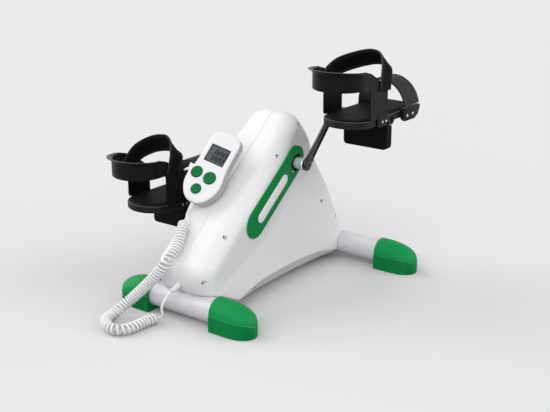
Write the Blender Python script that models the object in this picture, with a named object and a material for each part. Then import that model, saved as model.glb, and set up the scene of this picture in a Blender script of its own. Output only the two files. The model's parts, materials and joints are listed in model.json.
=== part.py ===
"""Chair pedal exerciser: a motor-driven mini pedal bike with a wired handset.

Metres, +Z up, +Y ahead of the sitter.
"""

import math

import bmesh
import bpy
import numpy as np
from mathutils import Euler, Matrix, Vector

# Feet and cross tubes
TUBE_DIAMETER = 0.050
TUBE_WALL = 0.0018
TUBE_HEIGHT = 0.0318
TUBE_SPACING = 0.4577
NEAR_CAP_INNER = 0.0760
FAR_CAP_INNER = 0.1489
CAP_LENGTH = 0.0866
CAP_HALF_WIDTH = 0.0299
CAP_CROWN = 0.0043
CAP_SOCKET = 0.034
GAP = 0.0003

# Housing
HOUSING_HALF_WIDTH = 0.0635
HOUSING_REAR_HALF_WIDTH = 0.0500
WALL = 0.0030
SEAM = 0.0003
SADDLE_CLEARANCE = 0.0006
SLOPE = math.radians(39.6)
SLOPE_FOOT = (-0.0163, 0.1169)
FRONT_ROUNDING = 0.030
REAR_ROUNDING = 0.022
BOTTOM_HEIGHT = 0.021

# Drive
CRANK_Y = 0.264
CRANK_Z = 0.2577
CRANK_RADIUS = 0.131
CRANK_ANGLE = math.radians(45.0)
AXLE_RADIUS = 0.0075
AXLE_CLEARANCE = 0.0004
HOLE_RADIUS = 0.0180
ARM_INNER = 0.0860
ARM_THICKNESS = 0.0070
ARM_BOSS_RADIUS = 0.0125
ARM_TIP_RADIUS = 0.0108
PULLEY_RADIUS = 0.055
MOTOR_PULLEY_RADIUS = 0.011
PULLEY_X = (-0.0440, -0.0300)
BELT_THICKNESS = 0.002
MOTOR_Y = 0.155
MOTOR_Z = 0.110
MOTOR_RADIUS = 0.030
SHAFT_RADIUS = 0.004
BOARD_SIZE = (0.075, 0.085)

# Pedals, measured from the pedal spindle
PEDAL_X = 0.175
PLATE_HALF_WIDTH = 0.050
PLATE_HEEL = -0.1191
PLATE_HEEL_RATIO = 0.82
PLATE_TOE = 0.1035
PLATE_BOTTOM = -0.0024
PLATE_TOP = 0.0150
SPINDLE_RADIUS = 0.006
HUB_RADIUS = 0.0105
CUP_HALF_WIDTH = 0.0535
CUP_CENTRE = -0.1070
CUP_WALL = 0.003
CUP_RIM = 0.1090
CUP_FLARE = 0.0105
CUP_BAND_BOTTOM = 0.074
WEIGHT_Y = (-0.0190, 0.0030)
WEIGHT_BOTTOM = -0.059
STRAP = 0.0024

# Handset
HANDSET_CENTRE = (-0.0195, 0.0988, 0.2716)
HANDSET_TURN = (9.9, 15.2, -4.0)
HANDSET_FRONT_DEPTH = 0.011
HANDSET_BACK_DEPTH = 0.014
HANDSET_WALL = 0.0022
LCD_SIZE = (0.043, 0.036)
LCD_CENTRE_UP = 0.0267
BUTTONS = (
    ("button_left", -0.0208, -0.0192, 0.0130),
    ("button_right", 0.0105, -0.0210, 0.0142),
    ("button_low", -0.0039, -0.0500, 0.0108),
)
BUTTON_TRAVEL = 0.0015

# Cord
CORD_DIAMETER = 0.0047
COIL_RADIUS = 0.0088
TIGHT_PITCH = 0.0063
OPEN_PITCH = 0.0079
POINTS_PER_CURL = 8
BEND_GAP = 0.0009
BEND_SOFTENING = 0.006

MATERIALS = {
    "white_plastic": ((0.86, 0.87, 0.88), 0.3, 0.0),
    "grey_plastic": ((0.55, 0.57, 0.60), 0.45, 0.0),
    "green_plastic": ((0.012, 0.31, 0.075), 0.4, 0.0),
    "black_plastic": ((0.03, 0.03, 0.033), 0.5, 0.0),
    "dark_steel": ((0.10, 0.10, 0.11), 0.4, 1.0),
    "chrome": ((0.80, 0.80, 0.82), 0.12, 1.0),
    "painted_tube": ((0.85, 0.86, 0.87), 0.25, 0.0),
    "webbing": ((0.035, 0.035, 0.038), 0.85, 0.0),
    "rubber": ((0.05, 0.05, 0.05), 0.8, 0.0),
    "board_green": ((0.05, 0.25, 0.10), 0.5, 0.0),
    "lcd": ((0.45, 0.50, 0.47), 0.15, 0.0),
}


def clear_scene():
    for obj in list(bpy.data.objects):
        bpy.data.objects.remove(obj)


def new_material(name, kind):
    colour, roughness, metallic = MATERIALS[kind]
    made = bpy.data.materials.new(name)
    made.use_nodes = True
    shader = made.node_tree.nodes["Principled BSDF"]
    shader.inputs["Base Color"].default_value = (*colour, 1.0)
    shader.inputs["Roughness"].default_value = roughness
    shader.inputs["Metallic"].default_value = metallic
    return made


def add(name, verts, faces, kind, parent=None, helper=False):
    mesh = bpy.data.meshes.new(name)
    mesh.from_pydata([tuple(v) for v in verts], [], faces)
    work = bmesh.new()
    work.from_mesh(mesh)
    bmesh.ops.triangulate(work, faces=[f for f in work.faces if len(f.verts) > 4])
    bmesh.ops.recalc_face_normals(work, faces=work.faces)
    work.to_mesh(mesh)
    work.free()
    obj = bpy.data.objects.new(name, mesh)
    bpy.context.scene.collection.objects.link(obj)
    if helper:
        obj.hide_render = True
        obj.display_type = "WIRE"
    else:
        mesh.materials.append(new_material(name, kind))
    if parent is not None:
        obj.parent = parent
    return obj


def empty(name, place, turn=None):
    made = bpy.data.objects.new(name, None)
    bpy.context.scene.collection.objects.link(made)
    made.location = place
    if turn is not None:
        made.rotation_euler = turn
    return made


def bevel(obj, width, segments=2, angle=35.0):
    made = obj.modifiers.new("bevel", "BEVEL")
    made.width = width
    made.segments = segments
    made.limit_method = "ANGLE"
    made.angle_limit = math.radians(angle)
    return obj


def boolean(obj, other, operation="DIFFERENCE"):
    other.hide_render = True
    other.display_type = "WIRE"
    made = obj.modifiers.new(other.name, "BOOLEAN")
    made.operation = operation
    made.solver = "EXACT"
    made.object = other
    return obj


def placed(axis, t, a, b):
    if axis == "X":
        return (t, a, b)
    if axis == "Y":
        return (a, t, b)
    return (a, b, t)


def prism(name, outline, axis, start, end, kind, parent=None, helper=False):
    count = len(outline)
    verts = [placed(axis, t, a, b) for t in (start, end) for a, b in outline]
    faces = [tuple(range(count)), tuple(range(count, 2 * count))[::-1]]
    for i in range(count):
        j = (i + 1) % count
        faces.append((i, j, count + j, count + i))
    return add(name, verts, faces, kind, parent, helper)


def block(name, low, high, kind, parent=None, helper=False):
    outline = [(low[1], low[2]), (high[1], low[2]), (high[1], high[2]), (low[1], high[2])]
    return prism(name, outline, "X", low[0], high[0], kind, parent, helper)


def turned(name, profile, centre, kind, parent=None, ring=False, sides=20, helper=False, matrix=None):
    """Spins a list of (x, radius) about the X direction through centre. A ring profile is closed."""
    verts = []
    rows = []
    for x, radius in profile:
        if radius == 0.0:
            rows.append([len(verts)] * sides)
            verts.append((x, centre[0], centre[1]))
            continue
        rows.append(list(range(len(verts), len(verts) + sides)))
        for k in range(sides):
            angle = 2 * math.pi * (k + 0.5) / sides
            verts.append((x, centre[0] + radius * math.cos(angle), centre[1] + radius * math.sin(angle)))
    faces = []
    steps = len(rows) if ring else len(rows) - 1
    for i in range(steps):
        first = rows[i]
        second = rows[(i + 1) % len(rows)]
        for k in range(sides):
            j = (k + 1) % sides
            face = [first[k], first[j], second[j], second[k]]
            unique = list(dict.fromkeys(face))
            if len(unique) > 2:
                faces.append(tuple(unique))
    if matrix is not None:
        verts = [matrix @ Vector(v) for v in verts]
    return add(name, verts, faces, kind, parent, helper)


def cylinder(name, start, end, radius, centre, kind="black_plastic", parent=None, helper=False, sides=20):
    profile = [(start, 0.0), (start, radius), (end, radius), (end, 0.0)]
    return turned(name, profile, centre, kind, parent, False, sides, helper)


def sleeve(name, start, end, radius, bore, centre, kind, parent=None, sides=20, chamfer=0.0):
    profile = [(start, bore), (start, radius - chamfer), (start + chamfer, radius)]
    profile += [(end - chamfer, radius), (end, radius - chamfer), (end, bore)]
    if chamfer == 0.0:
        profile = [(start, bore), (start, radius), (end, radius), (end, bore)]
    return turned(name, profile, centre, kind, parent, True, sides)


def loft(name, rings, kind, parent=None, ends=True, helper=False):
    count = len(rings[0])
    verts = [v for ring in rings for v in ring]
    faces = []
    for i in range(len(rings) - 1):
        for k in range(count):
            j = (k + 1) % count
            faces.append((i * count + k, i * count + j, (i + 1) * count + j, (i + 1) * count + k))
    if ends:
        last = (len(rings) - 1) * count
        faces.append(tuple(range(count)))
        faces.append(tuple(range(last, last + count)))
    return add(name, verts, faces, kind, parent, helper)


def smooth_path(points, samples):
    """Catmull-Rom curve through the points, with this many steps in each span."""
    points = np.array(points, float)
    ends = np.vstack([2 * points[0] - points[1], points, 2 * points[-1] - points[-2]])
    found = []
    for i in range(1, len(ends) - 2):
        before, start, end, after = ends[i - 1 : i + 3]
        for k in range(samples):
            t = k / samples
            found.append(
                0.5
                * (
                    2 * start
                    + (end - before) * t
                    + (2 * before - 5 * start + 4 * end - after) * t**2
                    + (3 * start - before - 3 * end + after) * t**3
                )
            )
    found.append(points[-1])
    return np.array(found)


def stadium(a, b, radius, sides=12):
    """Outline of a slot from centre a to centre b."""
    a, b = np.array(a), np.array(b)
    along = math.atan2(*(b - a)[::-1])
    outline = []
    for centre, start in ((b, along - math.pi / 2), (a, along + math.pi / 2)):
        for k in range(sides + 1):
            angle = start + math.pi * k / sides
            outline.append((centre[0] + radius * math.cos(angle), centre[1] + radius * math.sin(angle)))
    return outline


# Cross tubes and end caps
def cap_rings(inner, side):
    """Sections of an end cap from its flat inner face to its rounded nose."""
    height = TUBE_HEIGHT + TUBE_DIAMETER / 2 + CAP_CROWN
    stations = (
        (0.0, 1.0, 1.0, 0.524),
        (0.024, 1.0, 0.993, 0.516),
        (0.042, 0.995, 0.957, 0.507),
        (0.0567, 0.955, 0.892, 0.499),
        (0.0697, 0.83, 0.794, 0.491),
        (0.0783, 0.625, 0.687, 0.466),
        (0.0840, 0.36, 0.581, 0.426),
        (CAP_LENGTH, 0.10, 0.491, 0.376),
    )
    rings = []
    for along, wide, top, wall in stations:
        half = CAP_HALF_WIDTH * wide
        x = side * (inner + along)
        top *= height
        wall *= height
        ring = [(x, -half, 0.0), (x, -half, wall * 0.5), (x, -half, wall)]
        for k in range(1, 10):
            angle = math.pi * k / 10
            ring.append((x, -half * math.cos(angle), wall + (top - wall) * math.sin(angle)))
        ring += [(x, half, wall), (x, half, wall * 0.5), (x, half, 0.0)]
        rings.append(ring)
    return rings


def build_feet():
    radius = TUBE_DIAMETER / 2
    for label, y, inner in (("near", 0.0, NEAR_CAP_INNER), ("far", TUBE_SPACING, FAR_CAP_INNER)):
        reach = inner + CAP_SOCKET
        at = (y, TUBE_HEIGHT)
        sleeve(f"{label}_cross_tube", -reach, reach, radius, radius - TUBE_WALL, at, "painted_tube", sides=32)
        for side, word in ((1, "right"), (-1, "left")):
            rings = [[(x, y + dy, z) for x, dy, z in ring] for ring in cap_rings(inner, side)]
            cap = loft(f"{label}_{word}_cap", rings, "green_plastic")
            start = side * (inner - 0.004)
            end = side * (reach + GAP)
            low, high = sorted((start, end))
            bore = cylinder(f"cut_{label}_{word}", low, high, radius + GAP, at, helper=True, sides=32)
            boolean(cap, bore)


# Housing halves
def rearward(share):
    """Y of a place behind the crank: 0 at the crank's axis, 1 at the far tube's."""
    return CRANK_Y + share * (TUBE_SPACING - CRANK_Y)


def half_width(y, z):
    start = CRANK_Y - 0.044
    taper = min(max((y - start) / (rearward(0.9086) - start), 0.0), 1.0)
    width = HOUSING_HALF_WIDTH + (HOUSING_REAR_HALF_WIDTH - HOUSING_HALF_WIDTH) * taper
    return width - 0.05 * max(z - 0.27, 0.0)


def slope_point(along, below=0.0):
    y = SLOPE_FOOT[0] + along * math.cos(SLOPE) + below * math.sin(SLOPE)
    return (y, SLOPE_FOOT[1] + along * math.sin(SLOPE) - below * math.cos(SLOPE))


def housing_outline():
    """Rows of outline point, side-face point and rounding, from the front lip over the top and round."""
    rows = [
        ((-0.0150, None), (0.0060, TUBE_HEIGHT + 0.0347), FRONT_ROUNDING),
        ((-0.0195, 0.0690), (0.0063, 0.0760), FRONT_ROUNDING),
        ((-0.0239, 0.0887), (0.0065, 0.0887), FRONT_ROUNDING),
        ((-0.0226, 0.1040), (0.0090, 0.0970), FRONT_ROUNDING),
        (SLOPE_FOOT, (0.0150, 0.1040), FRONT_ROUNDING),
    ]
    for along in (0.022, 0.080, 0.150, 0.220, 0.295):
        rows.append((slope_point(along), slope_point(along, FRONT_ROUNDING), FRONT_ROUNDING))
    rows += [
        (slope_point(0.352), (rearward(0.0103), 0.3150), FRONT_ROUNDING),
        ((rearward(0.0129), 0.3505), (rearward(0.0387), 0.3175), FRONT_ROUNDING),
        ((rearward(0.0620), 0.3537), (rearward(0.0671), 0.3180), 0.028),
        ((rearward(0.1162), 0.3505), (rearward(0.0981), 0.3165), 0.026),
        ((rearward(0.1704), 0.3410), (rearward(0.1239), 0.3120), 0.024),
        ((rearward(0.3459), 0.2985), (rearward(0.2576), 0.2847), REAR_ROUNDING),
        ((rearward(0.5059), 0.2430), (rearward(0.4068), 0.2323), REAR_ROUNDING),
        (REAR_FACE[0], (rearward(0.6402), 0.1645), REAR_ROUNDING),
        (REAR_FACE[1], (rearward(0.8198), 0.0938), REAR_ROUNDING),
        ((rearward(0.9964), TUBE_HEIGHT + 0.0452), (rearward(0.8931), TUBE_HEIGHT + 0.0402), 0.020),
        ((rearward(1.0428), TUBE_HEIGHT + 0.0322), (rearward(0.9344), TUBE_HEIGHT + 0.0382), 0.016),
    ]
    reach = TUBE_DIAMETER / 2 + SADDLE_CLEARANCE
    low = math.acos((BOTTOM_HEIGHT - TUBE_HEIGHT) / reach)
    rows.append(((TUBE_SPACING + 0.0063, None), (rearward(0.9551), TUBE_HEIGHT + 0.0347), 0.008))
    for angle in (low * share for share in (0.07, 0.26, 0.45, 0.64, 0.83)):
        out = (TUBE_SPACING - reach * math.sin(angle), TUBE_HEIGHT + reach * math.cos(angle))
        inside = (
            TUBE_SPACING - (reach + WALL) * math.sin(angle) - 0.001,
            TUBE_HEIGHT + (reach + WALL) * math.cos(angle),
        )
        rows.append((out, inside, WALL))
    corner = TUBE_SPACING - reach * math.sin(low)
    rows.append(((corner, BOTTOM_HEIGHT), (corner - 0.004, BOTTOM_HEIGHT + 0.004), WALL))
    for y, z, lift in (
        (rearward(0.7641), BOTTOM_HEIGHT, 0.007),
        (rearward(0.4956), BOTTOM_HEIGHT, 0.019),
        (rearward(0.0929), BOTTOM_HEIGHT, 0.025),
        (0.215, BOTTOM_HEIGHT, 0.026),
        (0.149, BOTTOM_HEIGHT, 0.022),
        (0.102, BOTTOM_HEIGHT, 0.012),
        (0.078, 0.0228, 0.005),
        (0.054, 0.0335, 0.004),
        (0.032, 0.0440, 0.004),
    ):
        rows.append(((y, z), (y + 0.001, z + lift), max(0.62 * lift, 0.0025)))
    for angle in (math.radians(a) for a in (44, 26, 8)):
        out = (reach * math.sin(angle), TUBE_HEIGHT + reach * math.cos(angle))
        inside = ((reach + WALL) * math.sin(angle) + 0.002, TUBE_HEIGHT + (reach + WALL) * math.cos(angle))
        rows.append((out, inside, WALL))
    rows.append(((-0.0062, None), (0.0062, TUBE_HEIGHT + 0.0310), 0.016))
    found = []
    for (y, z), inside, rounding in rows:
        if z is None:
            centre = 0.0 if y < 0.2 else TUBE_SPACING
            z = TUBE_HEIGHT + math.sqrt(reach**2 - (y - centre) ** 2)
        found.append(((y, z), inside, rounding))
    return found


def inward(points, i):
    """Way into the wall at outline point i. The low corners beside the tubes go clear of the saddles."""
    if points[i][1] == BOTTOM_HEIGHT and points[i - 1][1] != points[(i + 1) % len(points)][1]:
        return Vector((1.5 if points[i][0] < 0.2 else -1.5, 1.0))
    before = Vector(points[i - 1])
    after = Vector(points[(i + 1) % len(points)])
    along = (after - before).normalized()
    return Vector((along[1], -along[0]))


def housing_half(name, side):
    rows = housing_outline()
    outline = [row[0] for row in rows]
    steps = 5

    def ring(t, inner):
        made = []
        for i, (out, inside, rounding) in enumerate(rows):
            out, inside = Vector(out), Vector(inside)
            push = inward(outline, i) * WALL
            if inner:
                out = out + push
                if (inside - out).length < 0.012:
                    inside = inside + push
            width = half_width(*inside) - (WALL if inner else 0.0)
            depth = min(rounding, width - 0.01)
            if t is None:
                made.append((side * SEAM / 2, out[0], out[1]))
                continue
            bent = inside + (out - inside) * math.cos(t)
            x = width - depth * (1 - math.sin(t))
            if rounding < 0.0165 and out[1] < 0.045 and 0.03 < out[0] < TUBE_SPACING - 0.03:
                share = t / (math.pi / 2)
                bent = out + (inside - out) * share
                x = width - depth * (1 - share)
            made.append((side * x, bent[0], bent[1]))
        return made

    angles = [None] + [math.pi / 2 * k / steps for k in range(steps + 1)]
    outer = [ring(t, False) for t in angles]
    inner = [ring(t, True) for t in (None, 0.0, math.pi / 6, math.pi / 3, math.pi / 2)]
    rings = outer[::-1] + inner
    return loft(name, rings, "white_plastic")


def build_housing():
    halves = [housing_half("housing_right", 1), housing_half("housing_left", -1)]
    centre = (CRANK_Y, CRANK_Z)
    hole = cylinder("cut_crank", -0.09, 0.09, HOLE_RADIUS + 0.001, centre, helper=True, sides=28)
    low, high = (-0.0225, 0.012, 0.012), (0.0225, TUBE_SPACING - 0.0097, 0.0470)
    under = block("cut_under", low, high, None, helper=True)
    socket = turned(
        "cut_socket",
        [(-0.02, 0.0), (-0.02, 0.0085), (0.02, 0.0085), (0.02, 0.0)],
        (0.0, 0.0),
        None,
        helper=True,
        sides=16,
        matrix=PLUG_FRAME,
    )
    inlet = turned(
        "cut_inlet",
        [(-0.02, 0.0), (-0.02, 0.0068), (0.02, 0.0068), (0.02, 0.0)],
        (0.0, 0.0),
        None,
        helper=True,
        sides=16,
        matrix=INLET_FRAME,
    )
    switch = block("cut_switch", (-0.02, -0.0083, -0.0113), (0.02, 0.0083, 0.0113), None, helper=True)
    switch.data.transform(SWITCH_FRAME)
    for half in halves:
        for cutter in (hole, under, socket):
            boolean(half, cutter)
    boolean(halves[0], inlet)
    boolean(halves[1], switch)


def build_panels():
    upper = (CRANK_Y - 0.0045, CRANK_Z + 0.0048)
    lower = (CRANK_Y - 0.1310, CRANK_Z - 0.0917)
    face = HOUSING_HALF_WIDTH + GAP
    hole = cylinder("cut_panel", -0.09, 0.09, HOLE_RADIUS, (CRANK_Y, CRANK_Z), helper=True, sides=28)
    for side, word in ((1, "right"), (-1, "left")):
        span = sorted((side * face, side * (face + 0.0026)))
        outline = stadium(lower, upper, 0.0305, 12)
        panel = prism(f"side_panel_{word}", outline, "X", span[0], span[1], "green_plastic")
        bevel(panel, 0.0009, 1)
        boolean(panel, hole)
        top = face + 0.0026 + GAP
        span = sorted((side * top, side * (top + 0.0008)))
        ends = (CRANK_Y - 0.1160, CRANK_Z - 0.0832), (CRANK_Y - 0.0420, CRANK_Z - 0.0267)
        label = stadium(*ends, 0.0115, 10)
        prism(f"panel_inlay_{word}", label, "X", span[0], span[1], "white_plastic")


# Frame and drive inside the housing
def build_frame():
    tube = TUBE_DIAMETER / 2 + GAP
    outline = []
    for centre, angles in ((0.0, (65, 75, 90, 105, 114)), (TUBE_SPACING, (246, 255, 270, 285, 295))):
        for angle in angles:
            a = math.radians(angle)
            outline.append((centre + tube * math.sin(a), TUBE_HEIGHT + tube * math.cos(a)))
    frame = prism("main_frame", outline, "X", -0.020, 0.020, "dark_steel")
    top = (0.026, CRANK_Y + 0.014, CRANK_Z - 0.012)
    column = block("join_column", (-0.010, CRANK_Y - 0.014, TUBE_HEIGHT), top, None, helper=True)
    shell = cylinder("join_shell", -0.024, 0.040, 0.0215, (CRANK_Y, CRANK_Z), helper=True, sides=28)
    bore = cylinder("cut_shell", -0.030, 0.046, 0.0160 + GAP, (CRANK_Y, CRANK_Z), helper=True, sides=28)
    boolean(frame, column, "UNION")
    boolean(frame, shell, "UNION")
    boolean(frame, bore)
    axle_bore = AXLE_RADIUS + AXLE_CLEARANCE
    sleeve("bearing_left", -0.0236, -0.0116, 0.0160, axle_bore, (CRANK_Y, CRANK_Z), "chrome", sides=28)
    sleeve("bearing_right", 0.0276, 0.0396, 0.0160, axle_bore, (CRANK_Y, CRANK_Z), "chrome", sides=28)


def build_drive(crank):
    here = (0.0, 0.0)
    outer = ARM_INNER + ARM_THICKNESS
    reach = outer - 0.0025
    cylinder("crank_axle", -reach, reach, AXLE_RADIUS, here, "chrome", crank)
    bore = AXLE_RADIUS + AXLE_CLEARANCE
    for side, word in ((1, "right"), (-1, "left")):
        span = sorted((side * 0.0640, side * (ARM_INNER - 0.0006)))
        sleeve(f"axle_sleeve_{word}", span[0], span[1], 0.0125, bore, here, "chrome", crank, chamfer=0.001)
        turn = CRANK_ANGLE if side > 0 else CRANK_ANGLE + math.pi
        tip = (CRANK_RADIUS * math.cos(turn), CRANK_RADIUS * math.sin(turn))
        outline = []
        ends = (tip, ARM_TIP_RADIUS, turn - math.pi / 2), ((0.0, 0.0), ARM_BOSS_RADIUS, turn + math.pi / 2)
        for centre, radius, start in ends:
            for k in range(11):
                angle = start + math.pi * k / 10
                outline.append((centre[0] + radius * math.cos(angle), centre[1] + radius * math.sin(angle)))
        span = sorted((side * ARM_INNER, side * outer))
        arm = prism(f"crank_arm_{word}", outline, "X", span[0], span[1], "dark_steel", crank)
        bevel(arm, 0.0012, 1)
        for label, where, radius in (("axle", (0.0, 0.0), bore), ("tip", tip, SPINDLE_RADIUS + GAP)):
            low, high = sorted((side * (ARM_INNER - 0.004), side * (outer + 0.004)))
            cutter = cylinder(f"cut_{label}_{word}", low, high, radius, where, helper=True)
            cutter.parent = crank
            boolean(arm, cutter)
        profile = [(reach + GAP, 0.0), (reach + GAP, 0.0050), (outer + GAP, 0.0050), (outer + GAP, 0.0095)]
        profile += [(outer + 0.0012, 0.0095), (outer + 0.0020, 0.0085), (outer + 0.0020, 0.0)]
        profile = [(side * x, r) for x, r in profile]
        turned(f"crank_bolt_{word}", profile, here, "dark_steel", crank, sides=20)
    low, high = PULLEY_X
    groove = PULLEY_RADIUS - 0.003
    profile = [
        (low, bore),
        (low, PULLEY_RADIUS),
        (low + 0.0015, PULLEY_RADIUS),
        (low + 0.0015, groove),
        (high - 0.0015, groove),
        (high - 0.0015, PULLEY_RADIUS),
        (high, PULLEY_RADIUS),
        (high, bore),
    ]
    turned("crank_pulley", profile, here, "black_plastic", crank, ring=True, sides=32)
    return groove


def belt_outline(big, small, far, extra):
    """Open belt round a big pulley at the origin and a small one at far, this much outside them."""
    gap = Vector(far).length
    along = math.atan2(far[1], far[0])
    lean = math.acos((big - small) / gap)
    outline = []
    for centre, radius, start, end in (
        ((0.0, 0.0), big + extra, along + lean, along + 2 * math.pi - lean),
        (far, small + extra, along - lean, along + lean),
    ):
        for k in range(19):
            angle = start + (end - start) * k / 18
            outline.append((centre[0] + radius * math.cos(angle), centre[1] + radius * math.sin(angle)))
    return outline


def build_motor(crank, groove):
    small = MOTOR_PULLEY_RADIUS - 0.002
    far = (MOTOR_Y - CRANK_Y, MOTOR_Z - CRANK_Z)
    low, high = PULLEY_X[0] + 0.0022, PULLEY_X[1] - 0.0022
    inner = belt_outline(groove, small, far, GAP)
    outer = belt_outline(groove, small, far, GAP + BELT_THICKNESS)
    rings = []
    for x, outline in ((low, inner), (low, outer), (high, outer), (high, inner)):
        rings.append([(x, CRANK_Y + a, CRANK_Z + b) for a, b in outline])
    count = len(inner)
    verts = [v for ring in rings for v in ring]
    faces = []
    for i in range(4):
        for k in range(count):
            j = (k + 1) % count
            n = (i + 1) % 4
            faces.append((i * count + k, i * count + j, n * count + j, n * count + k))
    add("drive_belt", verts, faces, "rubber")
    motor_at = empty("motor_axis", (0.0, MOTOR_Y, MOTOR_Z))
    here = (0.0, 0.0)
    low, high = PULLEY_X
    profile = [
        (low, SHAFT_RADIUS + GAP),
        (low, MOTOR_PULLEY_RADIUS),
        (low + 0.0015, MOTOR_PULLEY_RADIUS),
        (low + 0.0015, small),
        (high - 0.0015, small),
        (high - 0.0015, MOTOR_PULLEY_RADIUS),
        (high, MOTOR_PULLEY_RADIUS),
        (high, SHAFT_RADIUS + GAP),
    ]
    turned("motor_pulley", profile, here, "dark_steel", motor_at, ring=True, sides=20)
    turned(
        "motor_shaft",
        [(low, 0.0), (low, SHAFT_RADIUS), (-0.0240, SHAFT_RADIUS), (-0.0240, 0.0)],
        here,
        "chrome",
        motor_at,
        sides=16,
    )
    turned(
        "motor",
        [
            (-0.0237, 0.0),
            (-0.0237, 0.012),
            (-0.0200, 0.012),
            (-0.0200, MOTOR_RADIUS - 0.002),
            (-0.0180, MOTOR_RADIUS),
            (0.0430, MOTOR_RADIUS),
            (0.0450, MOTOR_RADIUS - 0.002),
            (0.0450, 0.0),
        ],
        (MOTOR_Y, MOTOR_Z),
        "dark_steel",
        sides=28,
    )
    top = TUBE_HEIGHT + (TUBE_DIAMETER / 2 + GAP) * math.cos(math.radians(65)) + GAP
    reach = MOTOR_RADIUS + GAP
    outline = [(MOTOR_Y - 0.034, top), (MOTOR_Y + 0.034, top), (MOTOR_Y + 0.034, MOTOR_Z - 0.006)]
    for k in range(15):
        angle = math.radians(-14 - 152 * k / 14)
        outline.append((MOTOR_Y + reach * math.cos(angle), MOTOR_Z + reach * math.sin(angle)))
    outline.append((MOTOR_Y - 0.034, MOTOR_Z - 0.006))
    prism("motor_bracket", outline, "X", -0.0160, 0.0200, "dark_steel")


def build_electrics():
    start = rearward(0.2375)
    far_corner = (0.0356, start + BOARD_SIZE[0], 0.0700 + BOARD_SIZE[1])
    board = block("control_board", (0.0340, start, 0.0700), far_corner, "board_green")
    for i, (y, z, dy, dz, up) in enumerate(
        (
            (0.012, 0.015, 0.016, 0.016, 0.014),
            (0.038, 0.012, 0.022, 0.012, 0.009),
            (0.015, 0.048, 0.020, 0.020, 0.006),
            (0.048, 0.050, 0.014, 0.024, 0.012),
        )
    ):
        y, z = start + y, 0.0700 + z
        join = block(f"join_chip_{i}", (0.0340 - up, y, z), (0.0348, y + dy, z + dz), None, helper=True)
        boolean(board, join, "UNION")
    seat = TUBE_HEIGHT + (TUBE_DIAMETER / 2 + GAP) * math.cos(math.radians(65)) + GAP
    leg = block("join_leg", (0.0340, start + 0.020, seat), (0.0356, start + 0.055, 0.0750), None, helper=True)
    low, high = (0.0060, start + 0.020, seat), (0.0350, start + 0.055, seat + 0.002)
    toe = block("join_toe", low, high, None, helper=True)
    boolean(board, leg, "UNION")
    boolean(board, toe, "UNION")
    sides = 20
    turned(
        "power_inlet",
        [
            (-0.0140, 0.0),
            (-0.0140, 0.0064),
            (0.0008, 0.0064),
            (0.0008, 0.0088),
            (0.0024, 0.0088),
            (0.0024, 0.0032),
            (-0.0080, 0.0032),
            (-0.0080, 0.0011),
            (0.0004, 0.0011),
            (0.0004, 0.0),
        ],
        (0.0, 0.0),
        "black_plastic",
        sides=sides,
        matrix=INLET_FRAME,
    )
    body = block("power_switch", (-0.0140, -0.0080, -0.0110), (0.0008, 0.0080, 0.0110), "black_plastic")
    rim = block("join_rim", (0.0004, -0.0100, -0.0130), (0.0024, 0.0100, 0.0130), None, helper=True)
    well = block("cut_well", (-0.0110, -0.0062, -0.0092), (0.0100, 0.0062, 0.0092), None, helper=True)
    for obj in (body, rim, well):
        obj.data.transform(SWITCH_FRAME)
    boolean(body, rim, "UNION")
    boolean(body, well)
    pivot = empty("rocker_axis", SWITCH_FRAME @ Vector((-0.0010, 0.0, 0.0)))
    rocker = [(-0.0078, 0.0), (-0.0052, 0.0058), (0.0012, 0.0086), (0.0052, 0.0080), (0.0034, 0.0)]
    rocker += [(0.0052, -0.0080), (0.0012, -0.0086), (-0.0052, -0.0058)]
    turn = SWITCH_FRAME.to_3x3()
    made = prism("switch_rocker", rocker, "Y", -0.0058, 0.0058, "black_plastic", pivot)
    made.data.transform(turn.to_4x4())


# Pedals
def pedal_plate_outline():
    half = PLATE_HALF_WIDTH
    deep = half * PLATE_HEEL_RATIO
    outline = []
    for k in range(13):
        angle = math.pi + math.pi * k / 12
        outline.append((half * math.cos(angle), PLATE_HEEL + deep + deep * math.sin(angle)))
    corner = 0.014
    for cx, start in ((half - corner, 0.0), (-half + corner, math.pi / 2)):
        for k in range(4):
            angle = start + math.pi / 2 * k / 3
            outline.append((cx + corner * math.cos(angle), PLATE_TOE - corner + corner * math.sin(angle)))
    return outline


def cup_stations():
    """Plan position, outward direction, low edge, rim height and flare along the heel cup's wall."""
    half = CUP_HALF_WIDTH
    rows = []
    for y, low, rim in (
        (-0.0245, -0.0055, 0.064),
        (-0.0420, -0.0055, 0.076),
        (-0.0560, -0.0055, 0.086),
        (-0.0600, 0.0120, 0.090),
        (-0.0860, 0.0120, 0.1030),
        (-0.0866, CUP_BAND_BOTTOM, 0.1033),
    ):
        rows.append(((half, y), (1.0, 0.0), low, rim, 0.0))
    for k in range(0, 15):
        angle = math.pi * k / 14
        share = math.sin(angle)
        place = (half * math.cos(angle), CUP_CENTRE - half * math.sin(angle))
        out = (math.cos(angle), -math.sin(angle))
        rim = CUP_RIM + 0.0050 * share
        rows.append((place, out, CUP_BAND_BOTTOM, rim, CUP_FLARE * math.sqrt(share)))
    mirrored = [((-p[0], p[1]), (-d[0], d[1]), b, r, f) for p, d, b, r, f in rows[:6][::-1]]
    return rows + mirrored


def band(name, path, width, thickness, kind, parent):
    """A strap along points of (x, y, z, lean), the lean in degrees being how far its width dips ahead."""
    places = [Vector(point[:3]) for point in path]
    rings = []
    for i, place in enumerate(places):
        along = (places[min(i + 1, len(places) - 1)] - places[max(i - 1, 0)]).normalized()
        lean = math.radians(path[i][3])
        across = Vector((0.0, math.cos(lean), -math.sin(lean)))
        across = (across - along * across.dot(along)).normalized()
        out = along.cross(across) * thickness / 2
        across = across * width / 2
        corners = (-across - out, -across + out, across + out, across - out)
        rings.append([place + corner for corner in corners])
    return loft(name, rings, kind, parent)


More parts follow.
